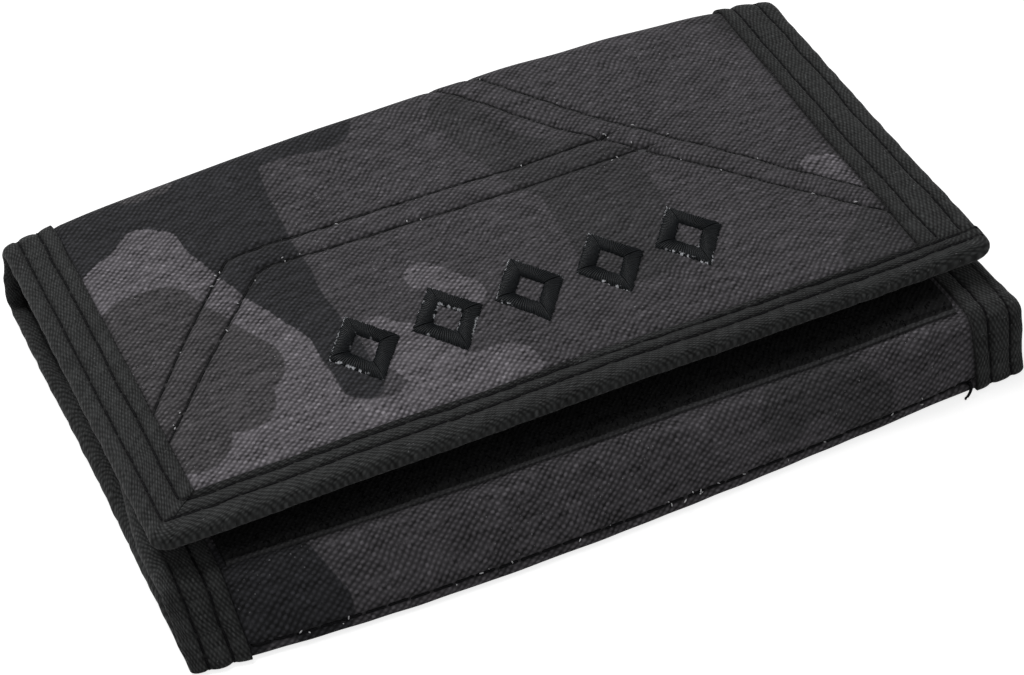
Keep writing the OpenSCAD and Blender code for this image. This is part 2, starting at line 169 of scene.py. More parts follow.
def unit(vectors):
    """The vectors at length 1."""
    return vectors / np.linalg.norm(vectors, axis=-1, keepdims=True)


# ---- The strip of cloth ----

cover_low, cover_high = cad_box("cover_binding")
HALF = cover_high[0]
TOP = cover_high[2]
COVER_EDGE = cover_low[1]
COIN_EDGE, COIN_TOP = cad_box("inner_binding")[1][1:]
FAR = HINGE["cover_spine_fold"][1]
NEAR = HINGE["inner_spine_fold"][1]
COIN_FOLD = HINGE["inner_fold"][1]
# Width and thickness of the binding tape, and the thickness of the cloth
TAPE_W, TAPE_T, CLOTH_T = 8.8, 0.45, 0.5
# Outer radii of both bends of the far fold, of the crease and of the coin fold, and the least
# radius inside a bend
FOLD_R, CREASE_R, TOP_R, MIN_R = 3.75, 0.7, 3.45, 0.12

CORNERS = np.array([
    (COVER_EDGE, TOP), (FAR, TOP), (FAR, 0), (NEAR, 0), (COIN_FOLD, COIN_TOP), (COIN_EDGE, COIN_TOP)
])
RADII = [0, FOLD_R, FOLD_R, CREASE_R, TOP_R, 0]
headings = unit(np.diff(CORNERS, axis=0))
rights = np.stack([headings[:, 1], -headings[:, 0]], 1)
# Turn at each inner corner, and the way that the corner moves for each millimetre of depth
turns = [math.acos(float(headings[i - 1] @ headings[i])) for i in range(1, 5)]
mitres = [(rights[i - 1] + rights[i]) / (1 + rights[i - 1] @ rights[i]) for i in range(1, 5)]


def strip_marks():
    """Distances along the strip, at no depth, where its lines and bends begin."""
    marks, s = [0.0], 0.0
    for i in range(5):
        length = np.linalg.norm(CORNERS[i + 1] - CORNERS[i])
        if i > 0:
            length -= RADII[i] * math.tan(turns[i - 1] / 2)
        if i < 4:
            length -= RADII[i + 1] * math.tan(turns[i] / 2)
        s += length
        marks.append(s)
        if i < 4:
            s += RADII[i + 1] * turns[i]
            marks.append(s)
    return marks


MARKS = strip_marks()
S_FAR_TOP, S_SPINE_TOP, S_SPINE_LOW, S_BACK_FAR = MARKS[1:5]
S_CREASE, S_NEAR_LOW, S_NEAR_HIGH, S_COIN, S_END = MARKS[5:10]
S_SPINE_MID = (S_SPINE_TOP + S_SPINE_LOW) / 2
S_BACK_MID = (S_BACK_FAR + S_CREASE) / 2
S_NEAR_MID = (S_NEAR_LOW + S_NEAR_HIGH) / 2


def section(s, depth):
    """Y and Z of the strip at distance s and a depth under its outer line. Each straight part is
    the line between the ends of its bends, and each bend is an arc whose radius shrinks by the
    depth, about a centre on the line that halves the corner."""
    s, depth = np.broadcast_arrays(np.asarray(s, float), np.asarray(depth, float))
    corner, radius, start, stop = [], [], [], []
    for i in range(6):
        side = mitres[i - 1] if 0 < i < 5 else rights[0 if i == 0 else 4]
        corner.append(CORNERS[i] + depth[..., None] * side)
        r = np.maximum(RADII[i] - depth, MIN_R) if 0 < i < 5 else np.zeros_like(depth)
        radius.append(r)
        reach = r * math.tan(turns[i - 1] / 2) if 0 < i < 5 else r
        start.append(corner[i] - reach[..., None] * headings[max(i - 1, 0)])
        stop.append(corner[i] + reach[..., None] * headings[min(i, 4)])
    out = np.zeros(s.shape + (2,))
    for i in range(5):
        s0, s1 = MARKS[2 * i], MARKS[2 * i + 1]
        share = ((s - s0) / (s1 - s0))[..., None]
        on = (s <= s1) if i == 0 else (s >= s0) if i == 4 else (s >= s0) & (s <= s1)
        out = np.where(on[..., None], stop[i] + (start[i + 1] - stop[i]) * share, out)
        if i < 4:
            s2 = MARKS[2 * i + 2]
            turn = turns[i] * (s - s1) / (s2 - s1)
            spin_a, spin_b = np.cos(turn)[..., None], np.sin(turn)[..., None]
            centre = start[i + 1] + radius[i + 1][..., None] * rights[i]
            arc = centre + radius[i + 1][..., None] * (-rights[i] * spin_a + headings[i] * spin_b)
            out = np.where(((s > s1) & (s < s2))[..., None], arc, out)
    return out


def ease(t):
    """Smooth step from 0 to 1."""
    t = np.clip(t, 0, 1)
    return t * t * (3 - 2 * t)


def waves(u, v, seed, length):
    """Smooth uneven field between about -1 and 1: seven sine waves in seeded directions, whose
    lengths lie round the one given."""
    draw = np.random.default_rng(seed)
    total = 0
    for angle, phase, stretch in draw.uniform((0, 0, 0.6), (math.pi, math.tau, 1.5), (7, 3)):
        k = math.tau / (length * stretch)
        total = total + np.sin(k * (u * math.cos(angle) + v * math.sin(angle)) + phase)
    return total / 3.7


def curve(xs, values, degree):
    """A polynomial in x fitted to a few places."""
    return np.polyfit(xs, values, degree)


CREASE_BOW = curve([-70, -35, 0, 35, 70], [0.8, -2.3, -2.8, -2.1, -1.2], 3)
TOP_BOW = curve([-70, -40, -10, 20, 45, 70], [3.2, 1.3, -0.4, -0.6, -1.2, -2.6], 3)
FAR_BOW = curve([-70, -55, -25, 10, 45, 70], [-0.9, 0.4, 1.5, 2.0, 1.4, -0.9], 4)
# How high the cover's dome and its ripple are, and the share of the far bulge that lifts it
DOME, RIPPLE, FAR_LIFT = 1.5, 0.16, 0.35
# How far the cover's free edge bows in the middle and at its right end, and how far its right
# edge runs out everywhere and more towards the free end
FREE_BOW, FREE_TURN, RUN_OUT, RUN_OUT_NEAR = 0.5, 0.7, 0.65, 0.85
# How far the coin panel rises at the right and is drawn in at the left, and how far the lower
# layers stand out at the right and at the left
COIN_RISE, COIN_IN, OUT_RIGHT, OUT_LEFT = 1.7, 3.3, 1.3, 0.9
FLOOR_GAP = 0.13
# Faces deeper than this count as inner, fully so after the second distance
INNER_FROM, INNER_OVER = 0.95, 0.3


def form(x, y, z, upper, inner=0.0):
    """The uneven form that use gives the flat layers. The cover (upper) is domed along a parabola
    in x and lifts at its far fold; the far spine bulges; the near spine and the coin panel's front
    bow along fitted curves; the lower layers stand out a little at both ends, and the cover's
    right edge runs out towards its free end, and its free edge bows. The coin panel's left edge
    is drawn in under the cover. Inner faces take no part in what stands out (inner is 1 there), so
    that they stay above the table when the wallet lies open. Nothing goes below the floor."""
    across = np.clip(1 - (x / HALF) ** 2, 0, 1)
    lift = ease((z - TOP / 2) / (TOP / 2)) if upper else 0
    dome = DOME * across * ease((y - COVER_EDGE + 12) / 34) * (0.75 + 0.25 * ease((FAR - y) / 22))
    ripple = RIPPLE * waves(x, y, 3, 34) * ease((HALF - np.abs(x)) / 12)
    outwards_share = 1 - inner
    bulge = np.polyval(FAR_BOW, x) * ease(z / TOP) * ease((y - 22) / 18)
    bulge = np.minimum(bulge, bulge * outwards_share)
    dz = lift * (dome + ripple + FAR_LIFT * bulge)
    dy = bulge
    if upper:
        bow = FREE_BOW * np.sin(np.pi * (x + HALF) / (2 * HALF)) + FREE_TURN * ease((x - 5) / 45)
        dy = dy - lift * bow * ease((-10 - y) / 18)
        out = 1 - ease((z - 4) / 9)
        spread = (RUN_OUT + RUN_OUT_NEAR * ease((5 - y) / 35)) * ease((x - 35) / 35) * lift
    else:
        near = 1 - ease((y - COIN_FOLD) / 34)
        up = ease(z / COIN_TOP)
        bow = near * (np.polyval(CREASE_BOW, x) * (1 - up) + np.polyval(TOP_BOW, x) * up)
        dy = dy + np.maximum(bow, bow * outwards_share)
        dz = dz + COIN_RISE * ease((x - 34) / 30) * up * near * outwards_share
        out = (1 - ease((z - 4) / 9) * ease((y - 30) / 8)) * (0.45 + 0.55 * ease(z / COIN_TOP))
        spread = COIN_IN * up * ease((y + 26) / 24) * ease((24 - y) / 8) * ease((-x - 50) / 16)
    dx = spread + out * (OUT_RIGHT * ease((x - 50) / 18) - OUT_LEFT * ease((-x - 50) / 18))
    return np.stack(np.broadcast_arrays(x + dx, y + dy, np.maximum(z + dz, FLOOR_GAP)), -1)


def at(x, s, depth, upper):
    """Place in the wallet of strip coordinates."""
    x, s, depth = np.broadcast_arrays(*[np.asarray(a, float) for a in (x, s, depth)])
    yz = section(s, depth)
    return form(x, yz[..., 0], yz[..., 1], upper, ease((depth - INNER_FROM) / INNER_OVER))


# ---- Meshes ----

def make_mesh(name, co, quads, material, uv=None, values=None, sharp=48):
    """A piece from points in millimetres and quads of point numbers, with its own UV map."""
    mesh = bpy.data.meshes.new(name)
    mesh.vertices.add(len(co))
    mesh.vertices.foreach_set("co", (np.asarray(co) * MM).astype(np.float32).ravel())
    flat = np.asarray(quads, np.int32).ravel()
    mesh.loops.add(len(flat))
    mesh.loops.foreach_set("vertex_index", flat)
    mesh.polygons.add(len(flat) // 4)
    mesh.polygons.foreach_set("loop_start", np.arange(0, len(flat), 4, dtype=np.int32))
    if uv is not None:
        uv_map = mesh.uv_layers.new(name="cloth")
        uv_map.data.foreach_set("uv", (np.asarray(uv)[flat] * MM).astype(np.float32).ravel())
    for key, value in (values or {}).items():
        field = mesh.attributes.new(key, "FLOAT", "POINT")
        field.data.foreach_set("value", np.asarray(value, np.float32).ravel())
    mesh.update(calc_edges=True)
    mesh.polygons.foreach_set("use_smooth", np.ones(len(flat) // 4, bool))
    mesh.set_sharp_from_angle(angle=math.radians(sharp))
    mesh.materials.append(material)
    piece = bpy.data.objects.new(name, mesh)
    scene.collection.objects.link(piece)
    return piece


def cell_corners(shape):
    """Point numbers of the four corners of a grid's cells, in order round each cell."""
    number = np.arange(shape[0] * shape[1]).reshape(shape[:2])
    return number[:-1, :-1], number[1:, :-1], number[1:, 1:], number[:-1, 1:]


def shell_parts(outer, inner, keep=None):
    """Points and quads of a closed sheet between two grids: both faces, and a rim wherever a kept
    cell has no kept neighbour. The whole is turned over if its outer face looks inwards."""
    n, m = outer.shape[:2]
    keep = np.ones((n - 1, m - 1), bool) if keep is None else keep
    a, b, c, d = cell_corners(outer.shape)
    face = np.stack([a, b, c, d], -1)[keep]
    back = face[:, ::-1] + n * m
    ringed = np.pad(keep, 1)
    rims = []
    for edge, (p, q) in zip(
        (ringed[:-2, 1:-1], ringed[2:, 1:-1], ringed[1:-1, :-2], ringed[1:-1, 2:]),
        ((d, a), (b, c), (a, b), (c, d)),
    ):
        bare = keep & ~edge
        rims.append(np.stack([q[bare], p[bare], p[bare] + n * m, q[bare] + n * m], -1))
    quads = np.concatenate([face, back] + rims)
    co = np.concatenate([outer.reshape(-1, 3), inner.reshape(-1, 3)])
    normal = np.cross(co[face[:, 1]] - co[face[:, 0]], co[face[:, 3]] - co[face[:, 0]])
    if np.sum(normal * (co[face[:, 0]] - co[back[:, 3]])) < 0:
        quads = quads[:, ::-1]
    return co, quads


def shell(name, outer, inner, material, uv, values=None, keep=None, sharp=48):
    """A closed sheet as a piece; grids of uv and values are the same on both of its faces."""
    co, quads = shell_parts(outer, inner, keep)
    uv = np.concatenate([np.asarray(uv).reshape(-1, 2)] * 2)
    values = {k: np.concatenate([v.ravel()] * 2) for k, v in (values or {}).items()}
    used = np.zeros(len(co), bool)
    used[quads] = True
    new = np.cumsum(used) - 1
    values = {k: v[used] for k, v in values.items()}
    return make_mesh(name, co[used], new[quads], material, uv[used], values, sharp)


def grid(xs, ss):
    return np.meshgrid(xs, ss, indexing="ij")


def layer(name, x, s, top, bottom, upper, material, values=None):
    """A closed sheet over a grid of the strip, from one depth to another."""
    return shell(name, at(x, s, top, upper), at(x, s, bottom, upper), material,
                 np.stack([x, s], -1), values)


def spaced(*stops):
    """Values from the first stop on, each later pair giving the next end and the step to it."""
    out = [np.array([stops[0]])]
    for end, step in stops[1:]:
        start = out[-1][-1]
        count = max(1, round(abs(end - start) / step))
        out.append(np.linspace(start, end, count + 1)[1:])
    return np.concatenate(out)


def rows_of(parts):
    """Joins lists of points and quads into one list of each."""
    co, quads, start = [], [], 0
    for points, faces in parts:
        co.append(points)
        quads.append(faces + start)
        start += len(points)
    return np.concatenate(co), np.concatenate(quads)


def tubes(centres, side, up, radius, flat=1.0, sides=6):
    """Many short tubes at once. centres, side and up are (tubes, rings, 3), radius is (rings).
    Each ring is an ellipse in the plane of side and up; the end rings are closed with two or
    three quads."""
    count, rings = centres.shape[:2]
    phi = np.arange(sides) * math.tau / sides
    radius = np.broadcast_to(radius, (count, rings))[..., None, None]
    ring = side[:, :, None] * np.cos(phi)[:, None] + up[:, :, None] * (flat * np.sin(phi))[:, None]
    co = (centres[:, :, None] + ring * radius).reshape(-1, 3)
    base = (np.arange(count) * rings * sides)[:, None, None]
    i = (np.arange(rings - 1) * sides)[None, :, None]
    j, k = np.arange(sides)[None, None], np.roll(np.arange(sides), -1)[None, None]
    wall = np.stack(np.broadcast_arrays(base + i + j, base + i + k, base + i + sides + k,
                                        base + i + sides + j), -1).reshape(-1, 4)
    cap = np.array([(0, 3, 2, 1), (0, 5, 4, 3)] if sides == 6 else [(0, 3, 2, 1)])
    first = (base[:, 0, 0][:, None, None] + cap[None]).reshape(-1, 4)
    last = (base[:, 0, 0][:, None, None] + (rings - 1) * sides + cap[None, :, ::-1]).reshape(-1, 4)
    quads = np.concatenate([wall, first, last])
    trial = np.cross(side[0, 1], up[0, 1]) @ (centres[0, 2] - centres[0, 0])
    return co, quads if trial > 0 else quads[:, ::-1]


# Pitch and radius of the tapes' stitches
STITCH, STITCH_R = 3.0, 0.23


def stitch_row(line, normal, pitch=STITCH, radius=STITCH_R, seed=1, sink=0.05):
    """A row of stitches along a line of points on a surface. Each stitch spans most of its pitch,
    lies on the surface in the middle and dives into it at both ends, where it is thickest;
    lengths and sides vary a little. Returns points and quads."""
    step = np.linalg.norm(np.diff(line, axis=0), axis=1)
    run = np.concatenate([[0], np.cumsum(step)])
    count = max(1, int(run[-1] / pitch))
    draw = np.random.default_rng(seed)
    start = (np.arange(count) + draw.uniform(-0.05, 0.05, count)) * (run[-1] / count)
    share = np.array([0.05, 0.16, 0.36, 0.64, 0.84, 0.95])
    place = start[:, None] + share * (run[-1] / count)

    def on(values, where):
        return np.stack([np.interp(where, run, values[:, i]) for i in range(3)], -1)

    centre, up = on(line, place), unit(on(normal, place))
    ahead = on(line, place + 0.1) - on(line, place - 0.1)
    ahead /= np.maximum(np.linalg.norm(ahead, axis=-1), 1e-6)[..., None]
    side = np.cross(up, ahead)
    arch = np.sin(np.pi * share)
    centre = centre + up * (radius * (0.75 * arch ** 0.6 - 0.5) - sink)[None, :, None]
    centre = centre + side * draw.normal(0, 0.07, (count, 1, 1))
    return tubes(centre, side, up, radius * np.array([0.8, 1.15, 0.85, 0.85, 1.15, 0.8]), 0.75)


def strip_line(x, s, depth, upper):
    """Points on a line over the strip and the outward normals there."""
    inner, outer = at(x, s, depth + 0.1, upper), at(x, s, depth - 0.1, upper)
    return at(x, s, depth, upper), unit(outer - inner)


# ---- Materials ----

class Net:
    """Adds nodes to one tree; sockets may be filled with values or linked."""

    def __init__(self, tree):
        self.tree = tree

    def node(self, kind, inputs=None, **settings):
        made = self.tree.nodes.new(kind)
        for key, value in settings.items():
            setattr(made, key, value)
        self.fill(made, inputs or {})
        return made

    def fill(self, node, inputs):
        """Links each named input of the node to a socket, or gives it a value."""
        for key, value in inputs.items():
            if isinstance(value, bpy.types.Node):
                value = value.outputs[0]
            if isinstance(value, bpy.types.NodeSocket):
                self.tree.links.new(value, node.inputs[key])
            else:
                node.inputs[key].default_value = value

    def math(self, operation, a, b=0.0, c=0.0):
        return self.node("ShaderNodeMath", {0: a, 1: b, 2: c}, operation=operation).outputs[0]

    def mix(self, factor, a, b):
        """A colour between a and b."""
        return self.node("ShaderNodeMix", {0: factor, 6: a, 7: b}, data_type="RGBA").outputs[2]

    def tint(self, colour, factor):
        """The colour times a grey value."""
        colour = colour[:3] if isinstance(colour, list) else colour
        return self.node("ShaderNodeVectorMath", {0: colour, "Scale": factor},
                         operation="SCALE").outputs[0]

    def ramp(self, value, low, high, start=0.0, end=1.0):
        return self.node("ShaderNodeMapRange", {0: value, 1: low, 2: high, 3: start, 4: end},
                         interpolation_type="SMOOTHSTEP").outputs[0]

    def noise(self, vector, scale, detail=2.0):
        return self.node("ShaderNodeTexNoise", {"Vector": vector, "Scale": scale,
                         "Detail": detail}).outputs[0]

    def attribute(self, name):
        return self.node("ShaderNodeAttribute", attribute_name=name).outputs["Fac"]

    def object_place(self):
        return self.node("ShaderNodeTexCoord").outputs["Object"]

    def bump(self, height, strength, distance):
        """The normal over a height, raised by the distance in millimetres."""
        return self.node("ShaderNodeBump", {"Height": height, "Strength": strength,
                         "Distance": distance * MM})

    def seen(self):
        """1 where the camera looks straight at something or through a clear sheet, and else 0."""
        paths = self.node("ShaderNodeLightPath").outputs
        return self.math("MAXIMUM", paths["Is Camera Ray"], paths["Is Transmission Ray"])


def group(name, inputs, outputs, fill):
    """A node group: inputs and outputs are (name, socket kind, value) rows, and fill(net, input
    node) returns its outputs by name."""
    tree = bpy.data.node_groups.new(name, "ShaderNodeTree")
    for label, kind, value in inputs:
        made = tree.interface.new_socket(label, in_out="INPUT", socket_type=kind)
        if value is not None:
            made.default_value = value
    for label, kind in outputs:
        tree.interface.new_socket(label, in_out="OUTPUT", socket_type=kind)
    net = Net(tree)
    sockets = fill(net, net.node("NodeGroupInput"))
    net.node("NodeGroupOutput", sockets)
    return tree


def fill_woven(net, given):
    """Close weave: two slanted waves, one of them stronger, whose crests cross in staggered rows
    of bumps. The lines wander, the threads that run across are uneven in level, and each bump has
    a level of its own."""
    place = given.outputs["Place"]
    moved = place
    for scale, reach in ((90.0, 0.0018), (420.0, 0.0005)):
        drift = net.node("ShaderNodeTexNoise", {"Vector": place, "Scale": scale, "Detail": 1.0})
        moved = net.node("ShaderNodeVectorMath", {0: drift.outputs["Color"], 1: (reach, reach, 0),
                         2: moved}, operation="MULTIPLY_ADD").outputs[0]
    parts = net.node("ShaderNodeSeparateXYZ", {0: moved})
    u = net.math("DIVIDE", parts.outputs[0], given.outputs["Warp"])
    v = net.math("DIVIDE", parts.outputs[1], given.outputs["Weft"])
    strong, weak = [
        net.math("MULTIPLY_ADD", net.math("COSINE", net.math("MULTIPLY", slant, math.pi)), 0.5, 0.5)
        for slant in (net.math("SUBTRACT", u, v), net.math("ADD", u, v))]
    bump = net.math("MULTIPLY", strong, net.math("MULTIPLY_ADD", weak, 0.62, 0.34))
    bump = net.math("MULTIPLY_ADD", weak, 0.08, net.math("ADD", bump, 0.12))
    thread = net.node("ShaderNodeVectorMath", {0: moved, 1: (0.16, 1.0, 0)}, operation="MULTIPLY")
    uneven = net.noise(thread.outputs[0], 1100.0, 1.0)
    bump = net.math("ADD", bump, net.ramp(uneven, 0.3, 0.7, -0.15, 0.15))
    cell = net.node("ShaderNodeCombineXYZ", {0: net.math("ROUND", u), 1: net.math("ROUND", v)})
    chance = net.node("ShaderNodeTexWhiteNoise", {0: cell.outputs[0]}, noise_dimensions="2D")
    bump = net.math("MULTIPLY_ADD", chance.outputs[0], 0.24, net.math("SUBTRACT", bump, 0.12))
    bright = net.math("MULTIPLY", net.ramp(chance.outputs[0], 0.85, 1.0), bump)
    return {"Height": bump, "Fleck": bright, "Chance": chance.outputs[0]}


WOVEN = group(
    "woven",
    [("Place", "NodeSocketVector", None), ("Warp", "NodeSocketFloat", 0.00034),
     ("Weft", "NodeSocketFloat", 0.00034)],
    [("Height", "NodeSocketFloat"), ("Fleck", "NodeSocketFloat"), ("Chance", "NodeSocketFloat")],
    fill_woven,
)


def fill_wear(net, given):
    """Uneven tone over a few centimetres and a few millimetres, and pale lint where a fine noise
    is high inside a coarse one."""
    place = given.outputs["Place"]
    wide = net.noise(place, 32.0, 3.0)
    fine = net.noise(place, 420.0, 2.0)
    tone = net.math("ADD", net.ramp(wide, 0.3, 0.7, -0.5, 0.5), net.ramp(fine, 0.3, 0.7, -0.25, 0.25))
    speck = net.ramp(net.noise(place, 2600.0, 0.0), 0.79, 0.83)
    lint = net.math("MULTIPLY", speck, net.ramp(net.noise(place, 70.0, 2.0), 0.5, 0.62))
    return {"Tone": tone, "Lint": lint}


WEAR = group(
    "wear", [("Place", "NodeSocketVector", None)],
    [("Tone", "NodeSocketFloat"), ("Lint", "NodeSocketFloat")], fill_wear,
)


def rgb(r, g, b):
    """Linear colour from the 0 to 255 values of a screen colour."""
    parts = [c / 255 for c in (r, g, b)]
    return [c / 12.92 if c <= 0.04045 else ((c + 0.055) / 1.055) ** 2.4 for c in parts] + [1.0]


def new_material(name):
    material = bpy.data.materials.new(name)
    material.use_nodes = True
    net = Net(material.node_tree)
    shader = material.node_tree.nodes["Principled BSDF"]
    return material, net, shader


LINT_COLOUR = rgb(150, 150, 152)


def fabric(name, colour, warp, weft, weave_shade=0.5, height=0.12, rough=0.82, sheen=0.08,
           lint=0.5, tone=0.2, fleck=0.6, patches=(), seams=0.0, hem=False):
    """Woven cloth on its UV map: weave group for bumps and flecks, wear group for tone and lint.
    The weave's height also lightens the colour on its crests and darkens it in its valleys, as
    painted light and shade. patches adds the printed camouflage, one colour after another over
    the field where its value passes 0. seams is how dark the painted shade is in the soft furrow
    on both sides of the narrow one, which also gets painted shade, where the attribute seam
    passes 0, and hem paints shade on the cloth where the attribute hem nears 0, as along a tape's
    curled inner edge."""
    material, net, shader = new_material(name)
    place = net.node("ShaderNodeUVMap", uv_map="cloth").outputs[0]
    woven = net.node("ShaderNodeGroup", node_tree=WOVEN)
    net.fill(woven, {"Place": place, "Warp": warp * MM, "Weft": weft * MM})
    wear = net.node("ShaderNodeGroup", node_tree=WEAR)
    net.fill(wear, {"Place": place})
    shade = colour
    ragged = net.math("MULTIPLY", net.math("SUBTRACT", woven.outputs["Chance"], 0.5), 0.25)
    for key, tone_of_patch in patches:
        mask = net.ramp(net.math("ADD", net.attribute(key), ragged), -0.14, 0.14)
        shade = net.mix(mask, shade, tone_of_patch)
    # Painted light and shade: the weave's height lightens the colour on its crests and darkens it in its
    # valleys.
    level = woven.outputs["Height"]
    light = net.math("MULTIPLY_ADD", level, weave_shade, 1 - 0.5 * weave_shade)
    light = net.math("MULTIPLY_ADD", woven.outputs["Fleck"], fleck, light)
    light = net.math("MULTIPLY_ADD", wear.outputs["Tone"], tone, light)
    shade = net.tint(shade, light)
    shade = net.mix(net.math("MULTIPLY", wear.outputs["Lint"], lint), shade, LINT_COLOUR)
    gloss = net.ramp(level, 0.0, 1.0, min(rough + 0.1, 1), rough - 0.08)
    # Painted shade in the narrow and the soft furrow along each seam, row of stitches and tape edge.
    if seams:
        gap = net.math("ABSOLUTE", net.attribute("seam"))
        furrow = net.ramp(gap, 0.08, 0.34, 1.0, 0.0)
        soft = net.ramp(gap, 0.2, 1.0, 1.0, 0.0)
        dark = net.math("MULTIPLY_ADD", soft, -seams, net.math("MULTIPLY_ADD", furrow, -0.45, 1.0))
        shade = net.tint(shade, dark)
        level = net.math("MULTIPLY_ADD", furrow, -1.5, level)
    # Painted shade over about a millimetre inside the tape's inner edge, where the tape curls down.
    if hem:
        shade = net.tint(shade, net.ramp(net.attribute("hem"), 0.0, 1.1, 0.62, 1.0))
    net.fill(shader, {"Base Color": shade, "Roughness": gloss, "Normal": net.bump(level, 0.8, height),
                      "Specular IOR Level": 0.25, "Sheen Weight": sheen, "Sheen Roughness": 0.45})
    return material


# The cloth gets painted shade along its seams, the crease row and the tapes' inner edges.
CLOTH = fabric("printed_cloth", rgb(60, 58, 61), warp=0.64, weft=0.465, weave_shade=1.4, height=0.12, seams=0.24,
               patches=[("camo_dark", rgb(33, 33, 36)), ("camo_soft", rgb(49, 48, 50)),
                        ("camo_light", rgb(86, 83, 87)), ("camo_over", rgb(59, 57, 59))])
# The tape gets painted shade along its rows of stitches and near its curled inner edge.
TAPE = fabric("edge_tape", rgb(39, 40, 40), warp=0.31, weft=0.6, weave_shade=1.4, height=0.1, lint=0.35,
              seams=0.36, hem=True)
LINING = fabric("lining_cloth", rgb(26, 26, 28), warp=0.24, weft=0.24, weave_shade=0.5, height=0.04,
                rough=0.6, lint=0.2, fleck=0.3)
ZIP_CLOTH = fabric("zip_cloth", rgb(25, 25, 27), warp=0.34, weft=0.5, weave_shade=0.8, height=0.08,
                   lint=0.2)


def thread_material(name, colour, rough, gloss):
    """Twisted thread: fine slanted waves along Object coordinates raise it and lighten its colour on
    their crests, as painted light.
    """
    material, net, shader = new_material(name)
    place = net.object_place()
    twist = net.node("ShaderNodeTexWave", {"Vector": place, "Scale": 900.0, "Distortion": 1.5},
                     bands_direction="DIAGONAL").outputs["Fac"]
    uneven = net.ramp(net.noise(place, 700.0), 0.2, 0.8, 0.6, 1.0)
    # Painted light: the twist's crests are lighter, the hollows between them darker.
    light = net.math("MULTIPLY_ADD", twist, 0.45, uneven)
    net.fill(shader, {"Base Color": net.tint(colour, light), "Normal": net.bump(twist, 0.4, 0.03),
                      "Roughness": net.ramp(twist, 0.0, 1.0, rough + 0.08, rough - 0.06),
                      "Specular IOR Level": gloss})
    return material


def satin_material():
    """Satin stitch: the attribute rib is 1 on the crest of each thread and 0 between threads, where
    the colour is painted lighter on the crests and painted with shade between threads; broken pale
    ends of the cloth's own yarn show where the attribute fray nears 1."""
    material, net, shader = new_material("satin_thread")
    place = net.object_place()
    crest = net.ramp(net.attribute("rib"), 0.15, 0.95)
    uneven = net.ramp(net.noise(place, 1500.0), 0.3, 0.7, 0.1, 0.4)
    # Painted light on each thread's crest and painted shade between threads.
    shade = net.tint(rgb(25, 28, 31), net.math("ADD", crest, uneven))
    speck = net.math("MULTIPLY", net.ramp(net.noise(place, 1500.0, 1.0), 0.5, 0.58),
                     net.ramp(net.attribute("fray"), 0.72, 0.92))
    cluster = net.ramp(net.noise(place, 130.0), 0.51, 0.56)
    shade = net.mix(net.math("MULTIPLY", speck, cluster), shade, rgb(200, 202, 206))
    net.fill(shader, {"Base Color": shade, "Roughness": net.ramp(crest, 0.0, 1.0, 0.7, 0.46),
                      "Normal": net.bump(crest, 0.5, 0.08), "Specular IOR Level": 0.25})
    return material


THREAD = thread_material("sewing_thread", rgb(11, 11, 13), rough=0.7, gloss=0.1)
SATIN = satin_material()
# Near black: the pile's own black, made darker still as painted shade for where it lies under the cover.
PILE = thread_material("loop_pile", rgb(7, 7, 8), rough=0.9, gloss=0.02)
HOOKS = thread_material("hook_plastic", rgb(16, 16, 17), rough=0.5, gloss=0.4)


def plain_material(name, colour, rough, metallic=0.0, scale=500.0, height=0.02):
    """Moulded or cast surface: two noises change its tone, gloss and level a little."""
    material, net, shader = new_material(name)
    place = net.object_place()
    fine = net.noise(place, scale, 4.0)
    wide = net.noise(place, scale / 12)
    light = net.math("ADD", net.ramp(fine, 0.3, 0.7, 0.75, 1.0), net.ramp(wide, 0.3, 0.7, -0.125, 0.125))
    net.fill(shader, {"Base Color": net.tint(colour, light), "Normal": net.bump(fine, 0.5, height),
                      "Roughness": net.ramp(fine, 0.3, 0.7, rough - 0.08, rough + 0.1),
                      "Metallic": metallic})
    return material


FOAM = plain_material("foam", rgb(70, 70, 72), rough=0.95, scale=1500.0, height=0.2)
TEETH = plain_material("zip_teeth", rgb(24, 24, 26), rough=0.42, scale=900.0)
METAL = plain_material("dark_metal", rgb(62, 63, 66), rough=0.42, metallic=1.0, scale=700.0)
LINT = plain_material("lint", rgb(188, 188, 190), rough=0.9)
WINDOW, net, shader = new_material("clear_sheet")
haze = net.noise(net.object_place(), 60.0, 3.0)
net.fill(shader, {"Roughness": net.ramp(haze, 0.3, 0.7, 0.06, 0.2),
                  "Base Color": net.mix(haze, rgb(205, 212, 216), rgb(225, 230, 232)),
                  "Transmission Weight": 1.0, "IOR": 1.46})


# ---- Camouflage: signed distance to rounded patches, each a chain of circles (x, y, radius) ----

def chain_value(x, s, chain):
    """Millimetres inside (+) or outside (-) the hull of each pair of neighbouring circles, whose
    radius changes evenly between them."""
    best = np.full(x.shape, -1e3)
    for (x0, s0, r0), (x1, s1, r1) in zip(chain, chain[1:] or chain):
        dx, ds = x1 - x0, s1 - s0
        along = np.clip(((x - x0) * dx + (s - s0) * ds) / max(dx * dx + ds * ds, 1e-6), 0, 1)
        gap = np.hypot(x - x0 - along * dx, s - s0 - along * ds)
        value = r0 + (r1 - r0) * along - gap
        top = np.maximum(best, value)
        best = top + np.log1p(np.exp(-np.abs(best - value) / 0.6)) * 0.6
    return best


